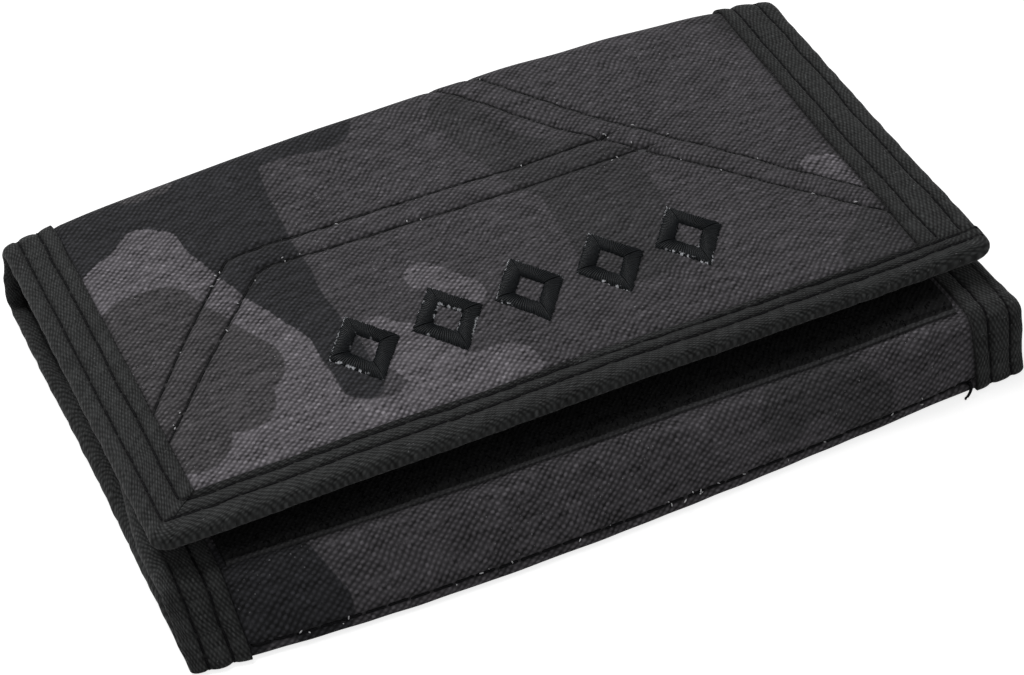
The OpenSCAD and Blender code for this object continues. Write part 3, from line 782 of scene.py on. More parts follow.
# On the cover, in x and y
COVER_PATCHES = {
    "camo_dark": [
        [(-60, 36, 9), (-36, 37.5, 8.8), (-36.4, 25, 7.8), (-36.3, 12, 7.7), (-33.6, 2, 4.8),
         (-31, -6, 3.1), (-30.8, -14.2, 3.2)],
        [(-36, 41, 7), (-24, 41.5, 4.6), (-15, 41, 6.2)],
    ],
    "camo_soft": [
        [(7.3, 33.8, 4.4), (8.9, 26.2, 3.9), (14.2, 18, 6.2), (20, 13, 8.2), (20.2, 6, 8.8),
         (19, -5, 8.6)],
        [(60, 39, 4), (62, 34, 3)], [(57.5, -18.5, 5), (53.6, -24, 6.2), (62, -24, 8)],
    ],
    "camo_light": [
        [(-61, 17.5, 6.6), (-55.6, 22.5, 6.2), (-50.3, 29.4, 2.8), (-47.3, 28.0, 2.4),
         (-47.6, 19, 4.7), (-45.8, 11.5, 5.2),
         (-43.2, 4, 5.6), (-41, -3, 6.2), (-41, -11, 6.3), (-42, -19, 7.5), (-30, -24.5, 5.4),
         (-20, -21.5, 5.4), (-9.3, -20.6, 4.9)],
        [(-60, 4, 12), (-58, -18, 9), (-44, -20, 7)],
        [(-24.2, -4, 2.2), (-22, -10, 4.4), (-18, -18, 5.6)], [(-13.3, 2.6, 2.9), (-9, -4, 3.2)],
        [(54.6, -0.8, 2.1), (57.6, -3.2, 2.6), (60.5, -7, 2.6)],
    ],
    "camo_over": [
        [(-62, 9, 9.4), (-56.3, 13.2, 5.8), (-52.4, 13.9, 4.9), (-50, 7, 5.4), (-46.4, -3.2, 6.9)],
        [(-60, -2, 9), (-49, -9.6, 5.6)], [(-60, -2, 9), (-56, 2, 8)], [(-58, -13.4, 5.9)],
        [(-47.5, 40.8, 2.6), (-43, 40.4, 2.4)],
    ],
}
# On the near spine, which lies between these two places in s, in x and s
FRONT_LOW, FRONT_HIGH = 160, 192
FRONT_PATCHES = {"camo_dark": [[(-66, 176, 8), (-56, 182, 7), (-50, 174, 5)]],
                 "camo_soft": [[(28, 178, 4), (34, 184, 6), (42, 175, 4.4)]]}
# Elsewhere: how many chains each colour has, the least and the most that x, s and radius of a
# chain's first circle can be, and the step from circle to circle
CHAIN_COUNTS = {"camo_light": 11, "camo_over": 7, "camo_soft": 12, "camo_dark": 12}
CHAIN_LOW, CHAIN_HIGH, CHAIN_STEP = (-66, 84, 4), (66, 222, 8), 8


def printed(x, s):
    """The four camouflage values over the strip: the cover's own patches, the near spine's, and
    seeded chains of two to four circles everywhere else."""
    values = {}
    draw = np.random.default_rng(21)
    for key, chains in COVER_PATCHES.items():
        all_chains = [[(cx, cy - COVER_EDGE, r) for cx, cy, r in chain] for chain in chains]
        all_chains += FRONT_PATCHES.get(key, [])
        for _ in range(CHAIN_COUNTS[key]):
            cx, cs, r = draw.uniform(CHAIN_LOW, CHAIN_HIGH)
            chain = []
            for _ in range(draw.integers(2, 5)):
                chain.append((cx, cs, r))
                angle = draw.uniform(0, math.tau)
                cx, cs = cx + CHAIN_STEP * math.cos(angle), cs + CHAIN_STEP * math.sin(angle)
                r = min(8.5, max(3, r + draw.uniform(-2.5, 2.5)))
            if not any(FRONT_LOW < c[1] < FRONT_HIGH for c in chain):
                all_chains.append(chain)
        values[key] = np.max([chain_value(x, s, chain) for chain in all_chains], axis=0)
    return values


# ---- Seams on the cover, in x and y, laid through their image points ----

def line_side(x, y, line):
    """Distance in the plane from each point to a line of points, with a minus on one side."""
    best = np.full(np.shape(x), 1e3)
    for (x0, y0), (x1, y1) in zip(line[:-1], line[1:]):
        dx, dy = x1 - x0, y1 - y0
        along = np.clip(((x - x0) * dx + (y - y0) * dy) / (dx * dx + dy * dy), 0, 1)
        gap = np.hypot(x - x0 - along * dx, y - y0 - along * dy)
        side = np.where(dx * (y - y0) < dy * (x - x0), -gap, gap)
        best = np.where(gap < np.abs(best), side, best)
    return best


def outwards(pair):
    """Both lines of a pair, each with a point on its outer side."""
    a, b = [line[len(line) // 2] for line in pair]
    return [(pair[0], 2 * a - b), (pair[1], 2 * b - a)]


def nearest_side(x, y, rows):
    """Distance to the nearest of some lines, each given with a point on its positive side, so
    that the value passes evenly through 0 on the line."""
    best = np.full(np.shape(x), 9.0)
    for line, beyond in rows:
        value = line_side(x, y, line) * np.sign(line_side(*beyond, line))
        best = np.where(np.abs(value) < np.abs(best), value, best)
    return best


def smooth_line(points, step=0.5):
    """A line through the points, resampled evenly."""
    points = np.asarray(points, float)
    run = np.concatenate([[0], np.cumsum(np.linalg.norm(np.diff(points, axis=0), axis=1))])
    even = np.linspace(0, run[-1], max(2, round(run[-1] / step)))
    return np.stack([np.interp(even, run, points[:, i]) for i in range(points.shape[1])], 1)


UNDER_TAPE = 66.4
LEFT_IN, RIGHT_IN, NEAR_LEFT, NEAR_RIGHT = -61.3, 59.2, 7.0, 4.9
RIGHT_SLANT = 0.8
COVER_TAPE_EDGE = np.array([(LEFT_IN, S_SPINE_MID), (LEFT_IN, NEAR_LEFT), (RIGHT_IN, NEAR_RIGHT),
                            (RIGHT_IN + RIGHT_SLANT, S_SPINE_MID)])
# Depth of the cloth's outer face, which lies under the tape
CLOTH_LOW = TAPE_T
# Places in x where the tape's inner edge runs below the cover, and where seams end under the tape
TAPE_EDGE, SEAM_END = 61.2, 62.5

cover_xs = spaced(-UNDER_TAPE, (UNDER_TAPE, 0.5))
cover_ss = spaced(2.2, (S_FAR_TOP, 0.5), (S_SPINE_TOP, 0.42), (S_SPINE_MID, 0.7))

# Depth and width of a seam's furrows, their spacing, and the rise between them
FURROW, FURROW_W, SEAM_GAP, SEAM_RISE = 0.34, 0.5, 4.6, 0.18
# Height of the cover cloth's waves, and the depth and width of its dip beside the tape
COVER_WAVE, DIP, DIP_W = 0.07, 0.16, 0.8


def seam_furrow(x, s, pairs):
    """Depth that seams add: a puckered furrow along each line of a pair and a slight rise between
    the two."""
    y = s + COVER_EDGE
    depth = 0
    for pair in pairs:
        gaps = [np.abs(line_side(x, y, line)) for line in pair]
        for n, gap in enumerate(gaps):
            pucker = 1 + 0.4 * waves(x, y, 31 + n, 4.2)
            depth = depth + FURROW * pucker * np.exp(-((gap / FURROW_W) ** 2))
        inside = np.clip(1 - (gaps[0] + gaps[1] - SEAM_GAP) / 1.2, 0, 1)
        depth = depth - SEAM_RISE * inside * ease(np.minimum(*gaps) / 1.5)
    return depth


def cover_depth(x, s, pairs=()):
    """Depth of the cover cloth's outer face: the tape's thickness, a low uneven wave, the seams,
    and a dip beside the tape."""
    inside = ease((62 - np.abs(x)) / 6) * ease((S_SPINE_MID - s) / 5)
    depth = CLOTH_LOW + COVER_WAVE * waves(x, s, 11, 13) * inside
    beside = np.abs(line_side(x, s, COVER_TAPE_EDGE))
    return depth + DIP * np.exp(-((beside / DIP_W) ** 2)) + seam_furrow(x, s, pairs)


# The seams are laid on a coarse surface of the cover without them
x, s = grid(spaced(-70, (70, 2.0)), spaced(0, (S_SPINE_TOP, 1.5)))
trial = at(x, s, cover_depth(x, s), True) * MM
trial_faces = np.stack(cell_corners(trial.shape), -1)
trial_tree = BVHTree.FromPolygons(trial.reshape(-1, 3).tolist(), trial_faces.reshape(-1, 4).tolist())
turn_at, end_at, cross_top, cross_low = [
    spot(name, trial_tree)[:2]
    for name in ("long_seam_turn", "long_seam_end", "cross_seam_top", "cross_seam_low")]

# The long seam runs along X and turns down to the left binding; its second line keeps its spacing
LONG_SEAM = [
    smooth_line([end_at, (10, turn_at[1] - 0.6), (-15, turn_at[1] + 0.2), turn_at + (8, 0.9),
                 turn_at + (2.5, 0.6), turn_at, turn_at + (-12, -13.2), turn_at + (-22.4, -26)]),
    smooth_line([end_at + (5, -5.3), (10, turn_at[1] - 5.6), (-15, turn_at[1] - 4.9),
                 turn_at + (6.5, -3.6), turn_at + (3.5, -4.4), turn_at + (-9.5, -18.2),
                 turn_at + (-22.4, -32.4)]),
]
# The cross seam runs over the far fold and on across the back to the left binding
cross_way = unit(cross_low - cross_top)
cross_side = np.array([-cross_way[1], cross_way[0]])
CROSS_SEAM = [
    smooth_line([cross_top - cross_way * 130, cross_top, cross_low, cross_low + cross_way * 9], 2),
    smooth_line([cross_top - cross_way * 130 - cross_side * 5, cross_top - cross_side * 5,
                 cross_low - cross_side * 4.4, cross_low + cross_way * 9 - cross_side * 3.6], 2),
]
SEAMS = [LONG_SEAM, CROSS_SEAM]
for part in SEAMS:
    for i, seam_line in enumerate(part):
        part[i] = seam_line[np.abs(seam_line[:, 0]) < SEAM_END]
CREASE_ROW = S_NEAR_LOW + 1.0
# Lines beside which the cloth is painted darker, as shade in the furrow along each, each with a
# point on its positive side: the edges of the tapes, then the crease row and the seams
CLOTH_EDGES = [(COVER_TAPE_EDGE, (0.0, 40.0))]
CLOTH_EDGES += [(np.array([(edge, S_SPINE_MID), (edge, S_END)]), (0.0, S_BACK_MID))
                for edge in (-TAPE_EDGE, TAPE_EDGE)]
CLOTH_ROWS = [(np.array([(-TAPE_EDGE, CREASE_ROW), (TAPE_EDGE, CREASE_ROW)]), (0.0, CREASE_ROW + 5))]
for pair in SEAMS:
    for line, beyond in outwards(pair):
        CLOTH_ROWS.append((line - (0, COVER_EDGE), beyond - (0, COVER_EDGE)))


def cloth_side(x, s):
    """Distance to the nearest row or tape edge; beside an edge it keeps the sign that the rows
    give, so that it doesn't pass through 0 where the nearest line changes."""
    row = nearest_side(x, s, CLOTH_ROWS)
    edge = nearest_side(x, s, CLOTH_EDGES)
    return np.where(np.abs(edge) < np.abs(row), edge * np.sign(row), row)


# ---- Cloth panels ----

# Each fold that pieces bend across: its two bodies and the places between which they bend
CREASE_REACH, COIN_REACH = 1.2, 3.0
lean = math.atan2(COIN_TOP, COIN_FOLD - NEAR)
crease_y, crease_z = CREASE_REACH * math.sin(lean / 2), CREASE_REACH * math.cos(lean / 2)
coin_y, coin_z = COIN_REACH * math.cos(lean / 2), COIN_REACH * math.sin(lean / 2)
COVER_FOLD_ENDS = ("cover_spine", "cover", (0, FAR, TOP - FOLD_R), (0, FAR - FOLD_R, TOP))
BACK_FOLD_ENDS = ("back", "cover_spine", (0, FAR - FOLD_R, 0), (0, FAR, FOLD_R))
CREASE_ENDS = ("back", "inner_spine", (0, NEAR + crease_y, -crease_z), (0, NEAR - crease_y, crease_z))
COIN_FOLD_ENDS = ("inner_spine", "inner_panel", (0, COIN_FOLD - coin_y, COIN_TOP - coin_z),
                  (0, COIN_FOLD + coin_y, COIN_TOP + coin_z))


def finished(piece, replaced):
    if replaced:
        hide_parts(*replaced)
    return piece


def bends(piece, ends, slot, *replaced):
    """Bakes the piece's place into its mesh and stands in for the replaced nodes of the CAD model,
    which it hides. ends, the fold that the piece lies across, and slot, its finish in the record,
    are not used."""
    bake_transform(piece)
    return finished(piece, replaced)


def rides(piece, body, slot, *replaced):
    """Parents the piece to the empty of one body, so that it moves with that body, and stands in
    for the replaced nodes of the CAD model, which it hides.
    """
    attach(piece, body)
    return finished(piece, replaced)


# How far the cloth under the back bulges out between the tapes, how much more it does on the
# near spine, and how deep the row of stitches above the crease pulls it in
SAG, NEAR_BULGE, ROW_DEPTH = 0.32, 0.9, 0.3


def sag(x):
    return SAG * np.clip(1 - (x / 60) ** 2, 0, 1)


def back_depth(x, s):
    return CLOTH_LOW - sag(x) * ease((s - S_SPINE_MID) / 10) + seam_furrow(x, s, [CROSS_SEAM])


def front_depth(x, s):
    """The near spine's cloth: it bulges outwards between the crease and the coin fold, and is
    pulled in along the row of stitches above the crease."""
    bulge = np.sin(np.pi * np.clip((s - S_NEAR_LOW) / (S_COIN - S_NEAR_LOW), 0, 1))
    row = np.exp(-(((s - CREASE_ROW) / 0.5) ** 2)) * (1 + 0.4 * waves(x, s, 41, 3.2))
    depth = (CLOTH_LOW - sag(x) - NEAR_BULGE * bulge * ease((64 - np.abs(x)) / 12)
             + ROW_DEPTH * row + 0.06 * waves(x, s, 42, 9))
    return depth + (seam_furrow(x, s, [CROSS_SEAM]) if s.min() < S_CREASE else 0)


wide_xs = spaced(-UNDER_TAPE, (UNDER_TAPE, 1.1))


def panel(name, xs, ss, depth, upper, ends, slot, *replaced, thickness=CLOTH_T, material=CLOTH):
    """A panel of cloth on the strip that bends across a fold: outer face at the depth, inner face
    a thickness below."""
    x, s = grid(xs, ss)
    d = depth(x, s)
    values = {**printed(x, s), "seam": cloth_side(x, s)} if material == CLOTH else None
    return bends(layer(name, x, s, d, d + thickness, upper, material, values), ends, slot, *replaced)


cover_cloth = panel("cover_cloth", cover_xs, cover_ss, lambda x, s: cover_depth(x, s, SEAMS), True,
                    COVER_FOLD_ENDS, "outer_cloth", "cover_shell")
panel("back_cloth_far", wide_xs,
      spaced(S_SPINE_MID, (S_SPINE_LOW, 0.7), (S_BACK_FAR, 0.42), (S_BACK_MID, 1.4)),
      back_depth, False, BACK_FOLD_ENDS, "outer_cloth", "cover_spine_shell", "back_shell")
near_cloth = panel("back_cloth_near", wide_xs,
                   spaced(S_BACK_MID, (S_CREASE, 1.4), (S_NEAR_LOW, 0.25), (S_NEAR_MID, 0.4)),
                   front_depth, False, CREASE_ENDS, "outer_cloth", "inner_spine_shell")
panel("coin_cloth", wide_xs, spaced(S_NEAR_MID, (S_COIN + 2, 0.4), (S_END - 3, 1.3)),
      front_depth, False, COIN_FOLD_ENDS, "outer_cloth", "inner_shell")


# ---- Binding tape ----

# Where the two rows of stitches lie across the tape, from 0 at its fold to 1, on its sides and
# along a free edge; then the tape's height over its edge along the strip
ROWS = (0.30, 0.71)
FREE_ROWS = (0.52, 0.86)
HEIGHT_S = [0, 66, 72, 84, 92, 161, 169.4, 171.2, 175, 179.5, 183.6, 187.5, 230]
HEIGHT = [3.4, 3.4, 2.1, 2.1, 3.75, 3.75, 1.2, 1.2, 2.1, 2.1, 3.2, 4.9, 4.9]
# Height of the tape's waves, depth and width of the pucker along its stitches, and height of
# the welts beside them; and the least share of the tape's width that its fold takes up
TAPE_WAVE, PUCKER, PUCKER_W, WELT = 0.06, 0.24, 0.45, 0.1
NOSE = 0.16


def wavy(line, seed):
    """The line through the points with a slight wander."""
    line = smooth_line(line, 1.0)
    return line + 0.1 * waves(line[:, 0], line[:, 1], seed, 12)[:, None]


def tape_relief(x, s, side_of_row):
    """Depth of the tape's own unevenness: a puckered furrow along each row of stitches, soft
    welts between them, and low waves."""
    gap = np.abs(side_of_row)
    pucker = 1 + 0.5 * waves(x, s, 52, 3.3)
    return (TAPE_WAVE * waves(x, s, 51, 7) + PUCKER * pucker * np.exp(-((gap / PUCKER_W) ** 2))
            - WELT * ease((gap - 0.3) / 1.3) * (1 + 0.4 * waves(x, s, 53, 4)))


def tape_piece(name, outer, inner, heights, upper, rows, lift):
    """Binding: a U section carried along an edge. outer and inner are the lines of the tape's
    fold and of its inner edge on the strip, as (x, s); the section is a flat leg, half an ellipse
    round the edge and a second leg, with the tape's thickness inside it. rows gives the signed
    distance to the rows of stitches, and lift how far the upper leg is raised."""
    n = len(outer)
    nose = np.linspace(0, math.pi, 12)[1:-1]
    heights = np.broadcast_to(heights, n)[:, None]
    way = unit(inner - outer)[:, None]
    half = heights / 2
    start = np.maximum(half / TAPE_W, NOSE)

    def leg(share):
        return start + (share - NOSE) / (1 - NOSE) * (1 - start)

    top_leg, low_leg = leg(spaced(1.0, (NOSE, 0.03))), leg(spaced(NOSE, (1.0, 0.08)))
    inset = TAPE_T / TAPE_W
    share_out = np.concatenate([top_leg, start * (1 - np.sin(nose)), low_leg], 1)
    share_in = np.concatenate([top_leg, start - (start - inset) * np.sin(nose), low_leg], 1)
    depth_out = np.concatenate([0 * top_leg, half * (1 - np.cos(nose)), 0 * low_leg + heights], 1)
    depth_in = np.concatenate([0 * top_leg + TAPE_T, half - (half - TAPE_T) * np.cos(nose),
                               0 * low_leg + heights - TAPE_T], 1)
    faces = []
    for share, depth in ((share_out, depth_out), (share_in, depth_in)):
        place = outer[:, None] + (inner - outer)[:, None] * share[..., None]
        x, s = place[..., 0], place[..., 1]
        side_of_row = rows(x, s)
        faces_up = np.where(depth < heights * 0.5, 1.0, -1.0)
        relief = tape_relief(x, s, side_of_row) * ease((share - start) / 0.12) * faces_up
        raised = lift(x, s) * np.clip(1 - depth / half, 0, 1)
        shift = (0.14 * waves(x, s, 61, 9) * ease((share - 0.8) / 0.2)
                 + 0.1 * waves(x, s, 64, 3.6) * (1 - ease((share - 0.05) / 0.25)))
        place = place + way * shift[..., None]
        faces.append(at(place[..., 0], place[..., 1], depth + relief - raised, upper))
        # hem, the distance from the tape's inner edge, is where the tape's material paints shade.
        if len(faces) == 1:
            values = {"seam": side_of_row, "hem": (1 - share) * TAPE_W}
    steps = np.linalg.norm(np.diff((outer + inner) / 2, axis=0), axis=1)
    walk = np.concatenate([[0], np.cumsum(steps)])
    across = np.concatenate([[0], np.cumsum(np.abs(np.diff(share_out[n // 2])) * TAPE_W + 0.02)])
    uv = np.stack(np.broadcast_arrays(across[None], walk[:, None]), -1)
    return shell(name, faces[0], faces[1], TAPE, uv, values, sharp=60)


# Radius of the tape's outer corners, how far its lines fan out beside the mitre, a hair's
# breadth, and how far the tape rises at the mitre and where it lies over the side's
CORNER_R, FAN, HAIR = 2.4, 2.6, 0.02
MITRE_LIFT, OVERLAP_LIFT = 0.34, 0.38


def flap_tape(s_open, s_free, left_in, right_in, near_left, near_right, slant=0.0):
    """A tape round three edges of a flap, from its fold down the left side, along the free edge at
    s_free and back up the right side. On the left its lines fan out on both sides of a mitre, with
    two lines close together along it. On the right the free edge's tape runs on over the side's,
    and its lines turn about the inner corner; the side's inner edge moves outwards by slant on
    its way to the fold. Returns the outer and inner lines, the rows of stitches, and the
    functions that tape_piece asks for."""
    way = 1 if s_open > s_free else -1
    corner = np.array([left_in, s_free + way * near_left])
    corner_r = np.array([right_in, s_free + way * near_right])
    slope = unit(corner_r - corner)
    up = np.array([0, way])
    left_s = spaced(s_open, (s_free + way * CORNER_R, 0.8))
    share = (left_s - s_open) / (left_s[-1] - s_open)
    outer = [np.stack([np.full_like(left_s, -HALF), left_s], 1)]
    inner = [np.stack([np.full_like(left_s, left_in),
                       s_open + (corner[1] + way * FAN - s_open) * share], 1)]
    phi = np.radians([9, 18, 27, 36, 44.8, 45.2, 54, 63, 72, 81])[:, None]
    centre = np.array([-HALF + CORNER_R, s_free + way * CORNER_R])
    outer.append(centre + CORNER_R * np.hstack([-np.cos(phi), -way * np.sin(phi)]))
    share = phi / (math.pi / 4)
    inner.append(corner + np.clip(1 - share, 0, 1) * up * FAN + np.clip(share - 1, 0, 1) * slope * FAN)
    free_x = spaced(-HALF + CORNER_R, (right_in, 0.8))
    share = ((free_x - free_x[0]) / (free_x[-1] - free_x[0]))[:, None]
    outer.append(np.stack([free_x, np.full_like(free_x, s_free)], 1))
    inner.append(corner + slope * FAN + share * (corner_r - HAIR - corner - slope * FAN))
    run_x = spaced(right_in, (HALF - CORNER_R, 0.8))[1:]
    phi = np.radians(np.arange(10, 90, 10))[:, None]
    centre = np.array([HALF - CORNER_R, s_free + way * CORNER_R])
    rest = spaced(s_free + way * CORNER_R, (corner_r[1] - way * HAIR, 0.6))
    turn = np.concatenate([
        np.stack([run_x, np.full_like(run_x, s_free)], 1),
        centre + CORNER_R * np.hstack([np.sin(phi), -way * np.cos(phi)]),
        np.stack([np.full_like(rest, HALF), rest], 1)])
    outer.append(turn)
    inner.append(corner_r - HAIR + HAIR * 0.9 * np.linspace(0, 1, len(turn))[:, None] * (1, 0))
    right_s = spaced(corner_r[1] + way * HAIR, (s_open, 0.8))
    outer.append(np.stack([np.full_like(right_s, HALF), right_s], 1))
    share = (right_s - right_s[0]) / (right_s[-1] - right_s[0])
    inner.append(np.stack([right_in + slant * share, right_s], 1))

    left, free, right = [], [], []
    for n, row in enumerate(ROWS):
        free_row = FREE_ROWS[n]
        turn_at = np.array([-HALF + row * (left_in + HALF), s_free + way * free_row * near_left])
        end_s = s_free + way * free_row * near_right
        left.append(wavy([(turn_at[0], s_open), turn_at], 81 + n))
        free.append(wavy([turn_at, (right_in, end_s), (HALF - 0.9, end_s)], 81 + n))
        right.append(wavy([(HALF - row * (HALF - right_in), corner_r[1] + way * 0.3),
                           (HALF - row * (HALF - right_in), s_open)], 83 + n))

    def rows(x, s):
        on_right = (x > 0) & (way * (s - corner_r[1]) > 0)
        return np.where(on_right, nearest_side(x, s, outwards(right)),
                        nearest_side(x, s, outwards(left) + outwards(free)))

    outer_turn = np.array([-HALF, s_free]) + CORNER_R * (1 - math.sqrt(0.5)) * np.array([1, way])
    mitre = outer_turn - corner

    def lift(x, s):
        on_left = (mitre[0] * (s - corner[1]) - mitre[1] * (x - corner[0])) * way < 0
        fold = (MITRE_LIFT * on_left * np.exp(-np.hypot(x - corner[0], s - corner[1]) / 4)
                * ease(((x + HALF) / (left_in + HALF) - 0.3) / 0.2) * (x < left_in + FAN))
        over = OVERLAP_LIFT * (way * (s - corner_r[1]) < 0) * np.exp(-np.maximum(right_in - x, 0) / 4)
        return fold + over

    return np.concatenate(outer), np.concatenate(inner), left + free + right, rows, lift


def side_tape(side, s0, s1):
    """The same for a straight strip of tape on one side (-1 or 1)."""
    stops = [s0] + [m for m in (S_SPINE_LOW, S_BACK_FAR, S_CREASE, S_NEAR_LOW) if s0 < m < s1] + [s1]
    s = spaced(stops[0], *[(b, 0.35 if b in (S_BACK_FAR, S_NEAR_LOW) else 0.8) for b in stops[1:]])
    outer = np.stack([np.full_like(s, side * HALF), s], 1)
    inner = np.stack([np.full_like(s, side * (HALF - TAPE_W)), s], 1)
    pair = [wavy([(side * (HALF - row * TAPE_W), s0), (side * (HALF - row * TAPE_W), s1)], 87 + n)
            for n, row in enumerate(ROWS)]
    return outer, inner, pair, lambda x, s: nearest_side(x, s, outwards(pair)), lambda x, s: 0 * x


def height_at(s):
    """The tape's height at a place on the strip."""
    return np.interp(s, HEIGHT_S, HEIGHT)


tape_rows = []


def bind_edge(name, edge, upper, ends, word, *replaced):
    """Makes a tape from what flap_tape or side_tape gives and keeps its rows for the stitches."""
    outer, inner, lines, rows, lift = edge
    tape_rows.append((lines, lift, upper, ends, word))
    piece = tape_piece(name, outer, inner, height_at(outer[:, 1]), upper, rows, lift)
    return bends(piece, ends, "webbing", *replaced)


cover_edge = flap_tape(S_SPINE_MID, 0.0, LEFT_IN, RIGHT_IN, NEAR_LEFT, NEAR_RIGHT, RIGHT_SLANT)
bind_edge("cover_tape", cover_edge, True, COVER_FOLD_ENDS, "cover", "cover_binding")
for side, word in ((-1, "left"), (1, "right")):
    bind_edge("back_tape_far_" + word, side_tape(side, S_SPINE_MID, S_BACK_MID), False, BACK_FOLD_ENDS,
              "back_far_" + word, "cover_spine_binding_" + word)
    bind_edge("back_tape_near_" + word, side_tape(side, S_BACK_MID, S_NEAR_MID), False, CREASE_ENDS,
              "back_near_" + word, "back_binding_" + word, "inner_spine_binding_" + word)
coin_edge = flap_tape(S_NEAR_MID, S_END, -TAPE_EDGE, TAPE_EDGE, TAPE_W, TAPE_W)
coin_tape = bind_edge("coin_tape", coin_edge, False, COIN_FOLD_ENDS, "coin", "inner_binding")


# ---- Stitches ----

def stitch_piece(name, lines, seed, pitch=STITCH, radius=STITCH_R):
    """Rows of stitches as one piece; lines holds (points, normals) of each row."""
    co, quads = rows_of([stitch_row(p, n, pitch, radius, seed + i) for i, (p, n) in enumerate(lines)])
    return make_mesh(name, co, quads, THREAD, sharp=180)


for count, (rows, lift, upper, ends, word) in enumerate(tape_rows):
    lines = []
    for row in rows:
        x, s = smooth_line(row).T
        relief = tape_relief(x, s, 0 * x)
        lines.append(strip_line(x, s, relief - lift(x, s), upper))
        points, normals = strip_line(x, s, height_at(s) - relief, upper)
        lines.append((points, -normals))
    bends(stitch_piece("tape_stitches_" + word, lines, seed=100 + 7 * count), ends, "thread")

seam_lines, back_lines = [], []
for pair in SEAMS:
    for line in pair:
        line = smooth_line(line)
        line = line[np.abs(line[:, 0]) < TAPE_EDGE]
        x, s = line[:, 0], line[:, 1] - COVER_EDGE
        top, low = s <= S_SPINE_MID, s > S_SPINE_MID
        seam_lines.append(strip_line(x[top], s[top], cover_depth(x[top], s[top], SEAMS), True))
        if low.any():
            back_lines.append(strip_line(x[low], s[low], back_depth(x, s)[low], False))
bends(stitch_piece("cover_seam_stitches", seam_lines, seed=200, radius=0.21), COVER_FOLD_ENDS, "thread")
bends(stitch_piece("back_seam_stitches", back_lines, seed=205, radius=0.21), BACK_FOLD_ENDS, "thread")
x = spaced(-61, (61, 0.5))
s = np.full_like(x, CREASE_ROW)
crease_line = strip_line(x, s, front_depth(x, s), False)
crease_stitches = stitch_piece("crease_stitches", [crease_line], seed=210, pitch=3.5, radius=0.28)
bends(crease_stitches, CREASE_ENDS, "thread")


# ---- Padding and linings ----

x, s = grid(spaced(-65, (65, 1.6)), spaced(4.0, (S_FAR_TOP - 1, 1.6)))
pinch = ease((65.5 - np.abs(x)) / 5) * ease((s - 3.4) / 5) * ease((S_FAR_TOP - 0.4 - s) / 5)
pad_top = 1.02 + 0.7 * (1 - pinch)
cover_pad = layer("cover_pad", x, s, pad_top, pad_top + 0.06 + 1.3 * pinch, True, FOAM)
rides(cover_pad, "cover", "foam", "cover_foam")


def lining_depth(x, s):
    """Linings lie under the padding on the cover and close under the cloth elsewhere, with slack
    folds across the width."""
    base = np.interp(s, [0, 64, 72, 84, 92, 160, 180, 190, 230],
                     [2.5, 2.5, 1.25, 1.25, 1.1, 1.1, 1.25, 1.28, 1.28])
    flat = ease((62 - np.abs(x)) / 8)
    slack = np.interp(s, [0, 12, 40, 62, 70, 90], [0, 0.05, 0.5, 0.7, 0.25, 0])
    return base + 0.05 * waves(x, s, 71, 16) * flat + slack * flat * (0.6 + 0.25 * waves(x, s, 72, 40))


for name, ss, upper, ends, node in (
    ("cover_lining_cloth", spaced(2.4, (S_FAR_TOP, 1.3), (S_SPINE_TOP, 0.5), (S_SPINE_MID, 1)),
     True, COVER_FOLD_ENDS, "cover_lining"),
    ("spine_lining_cloth",
     spaced(S_SPINE_MID, (S_SPINE_LOW, 1), (S_BACK_FAR, 0.5), (S_BACK_FAR + 5, 1)),
     False, BACK_FOLD_ENDS, "cover_spine_lining"),
    ("crease_lining_cloth",
     spaced(S_CREASE - 8, (S_CREASE, 1), (S_NEAR_LOW, 0.3), (S_NEAR_MID, 0.6)),
     False, CREASE_ENDS, "inner_spine_lining"),
    ("coin_lining_cloth", spaced(S_NEAR_MID, (S_COIN, 0.4), (S_END - 2.5, 1.3)),
     False, COIN_FOLD_ENDS, "inner_lining"),
):
    panel(name, wide_xs, ss, lining_depth, upper, ends, "lining", node, thickness=0.35,
          material=LINING)


# ---- Pockets on the back panel ----

def lay(x, y, z):
    """Place in the wallet of what lies flat below the cover."""
    return form(x, y, z, False)


def facing(line, way):
    """A line of points with normals that face up (1) or down (-1)."""
    return line, np.tile([0.0, 0, way], (len(line), 1))


def stack_lift(x, y):
    """The layers on the back panel rise together towards the far side, like a shallow hill."""
    return 0.8 * np.clip(1 - (x / 61) ** 2, 0, 1) * ease((y + 30) / 45) + 0.05 * waves(x, y, 81, 18)


def lying_sheet(name, xs, ys, z, thickness, material, slot, node, lift=stack_lift, hem=None,
                keep=None):
    """A sheet that lies flat over x and y on the back panel, raised by lift; hem is a function of
    x and y for what stands out on its upper face, and keep gives the cells that aren't cut out."""
    x, y = grid(xs, ys)
    base = z + lift(x, y)
    top = base + thickness + (hem(x, y) if hem else 0)
    piece = shell(name, lay(x, y, top), lay(x, y, base), material, np.stack([x, y], -1),
                  keep=keep(x, y) if keep else None)
    rides(piece, "back", slot, node)


def centres(x, y):
    """Middles of a grid's cells."""
    return (x[:-1, :-1] + x[1:, 1:]) / 2, (y[:-1, :-1] + y[1:, 1:]) / 2


def around_window(x, y):
    """The cells outside the front pocket's window."""
    mid_x, mid_y = centres(x, y)
    return ~((mid_x > view_low[0]) & (mid_x < view_high[0]) & (mid_y > view_low[1])
             & (mid_y < view_high[1]))


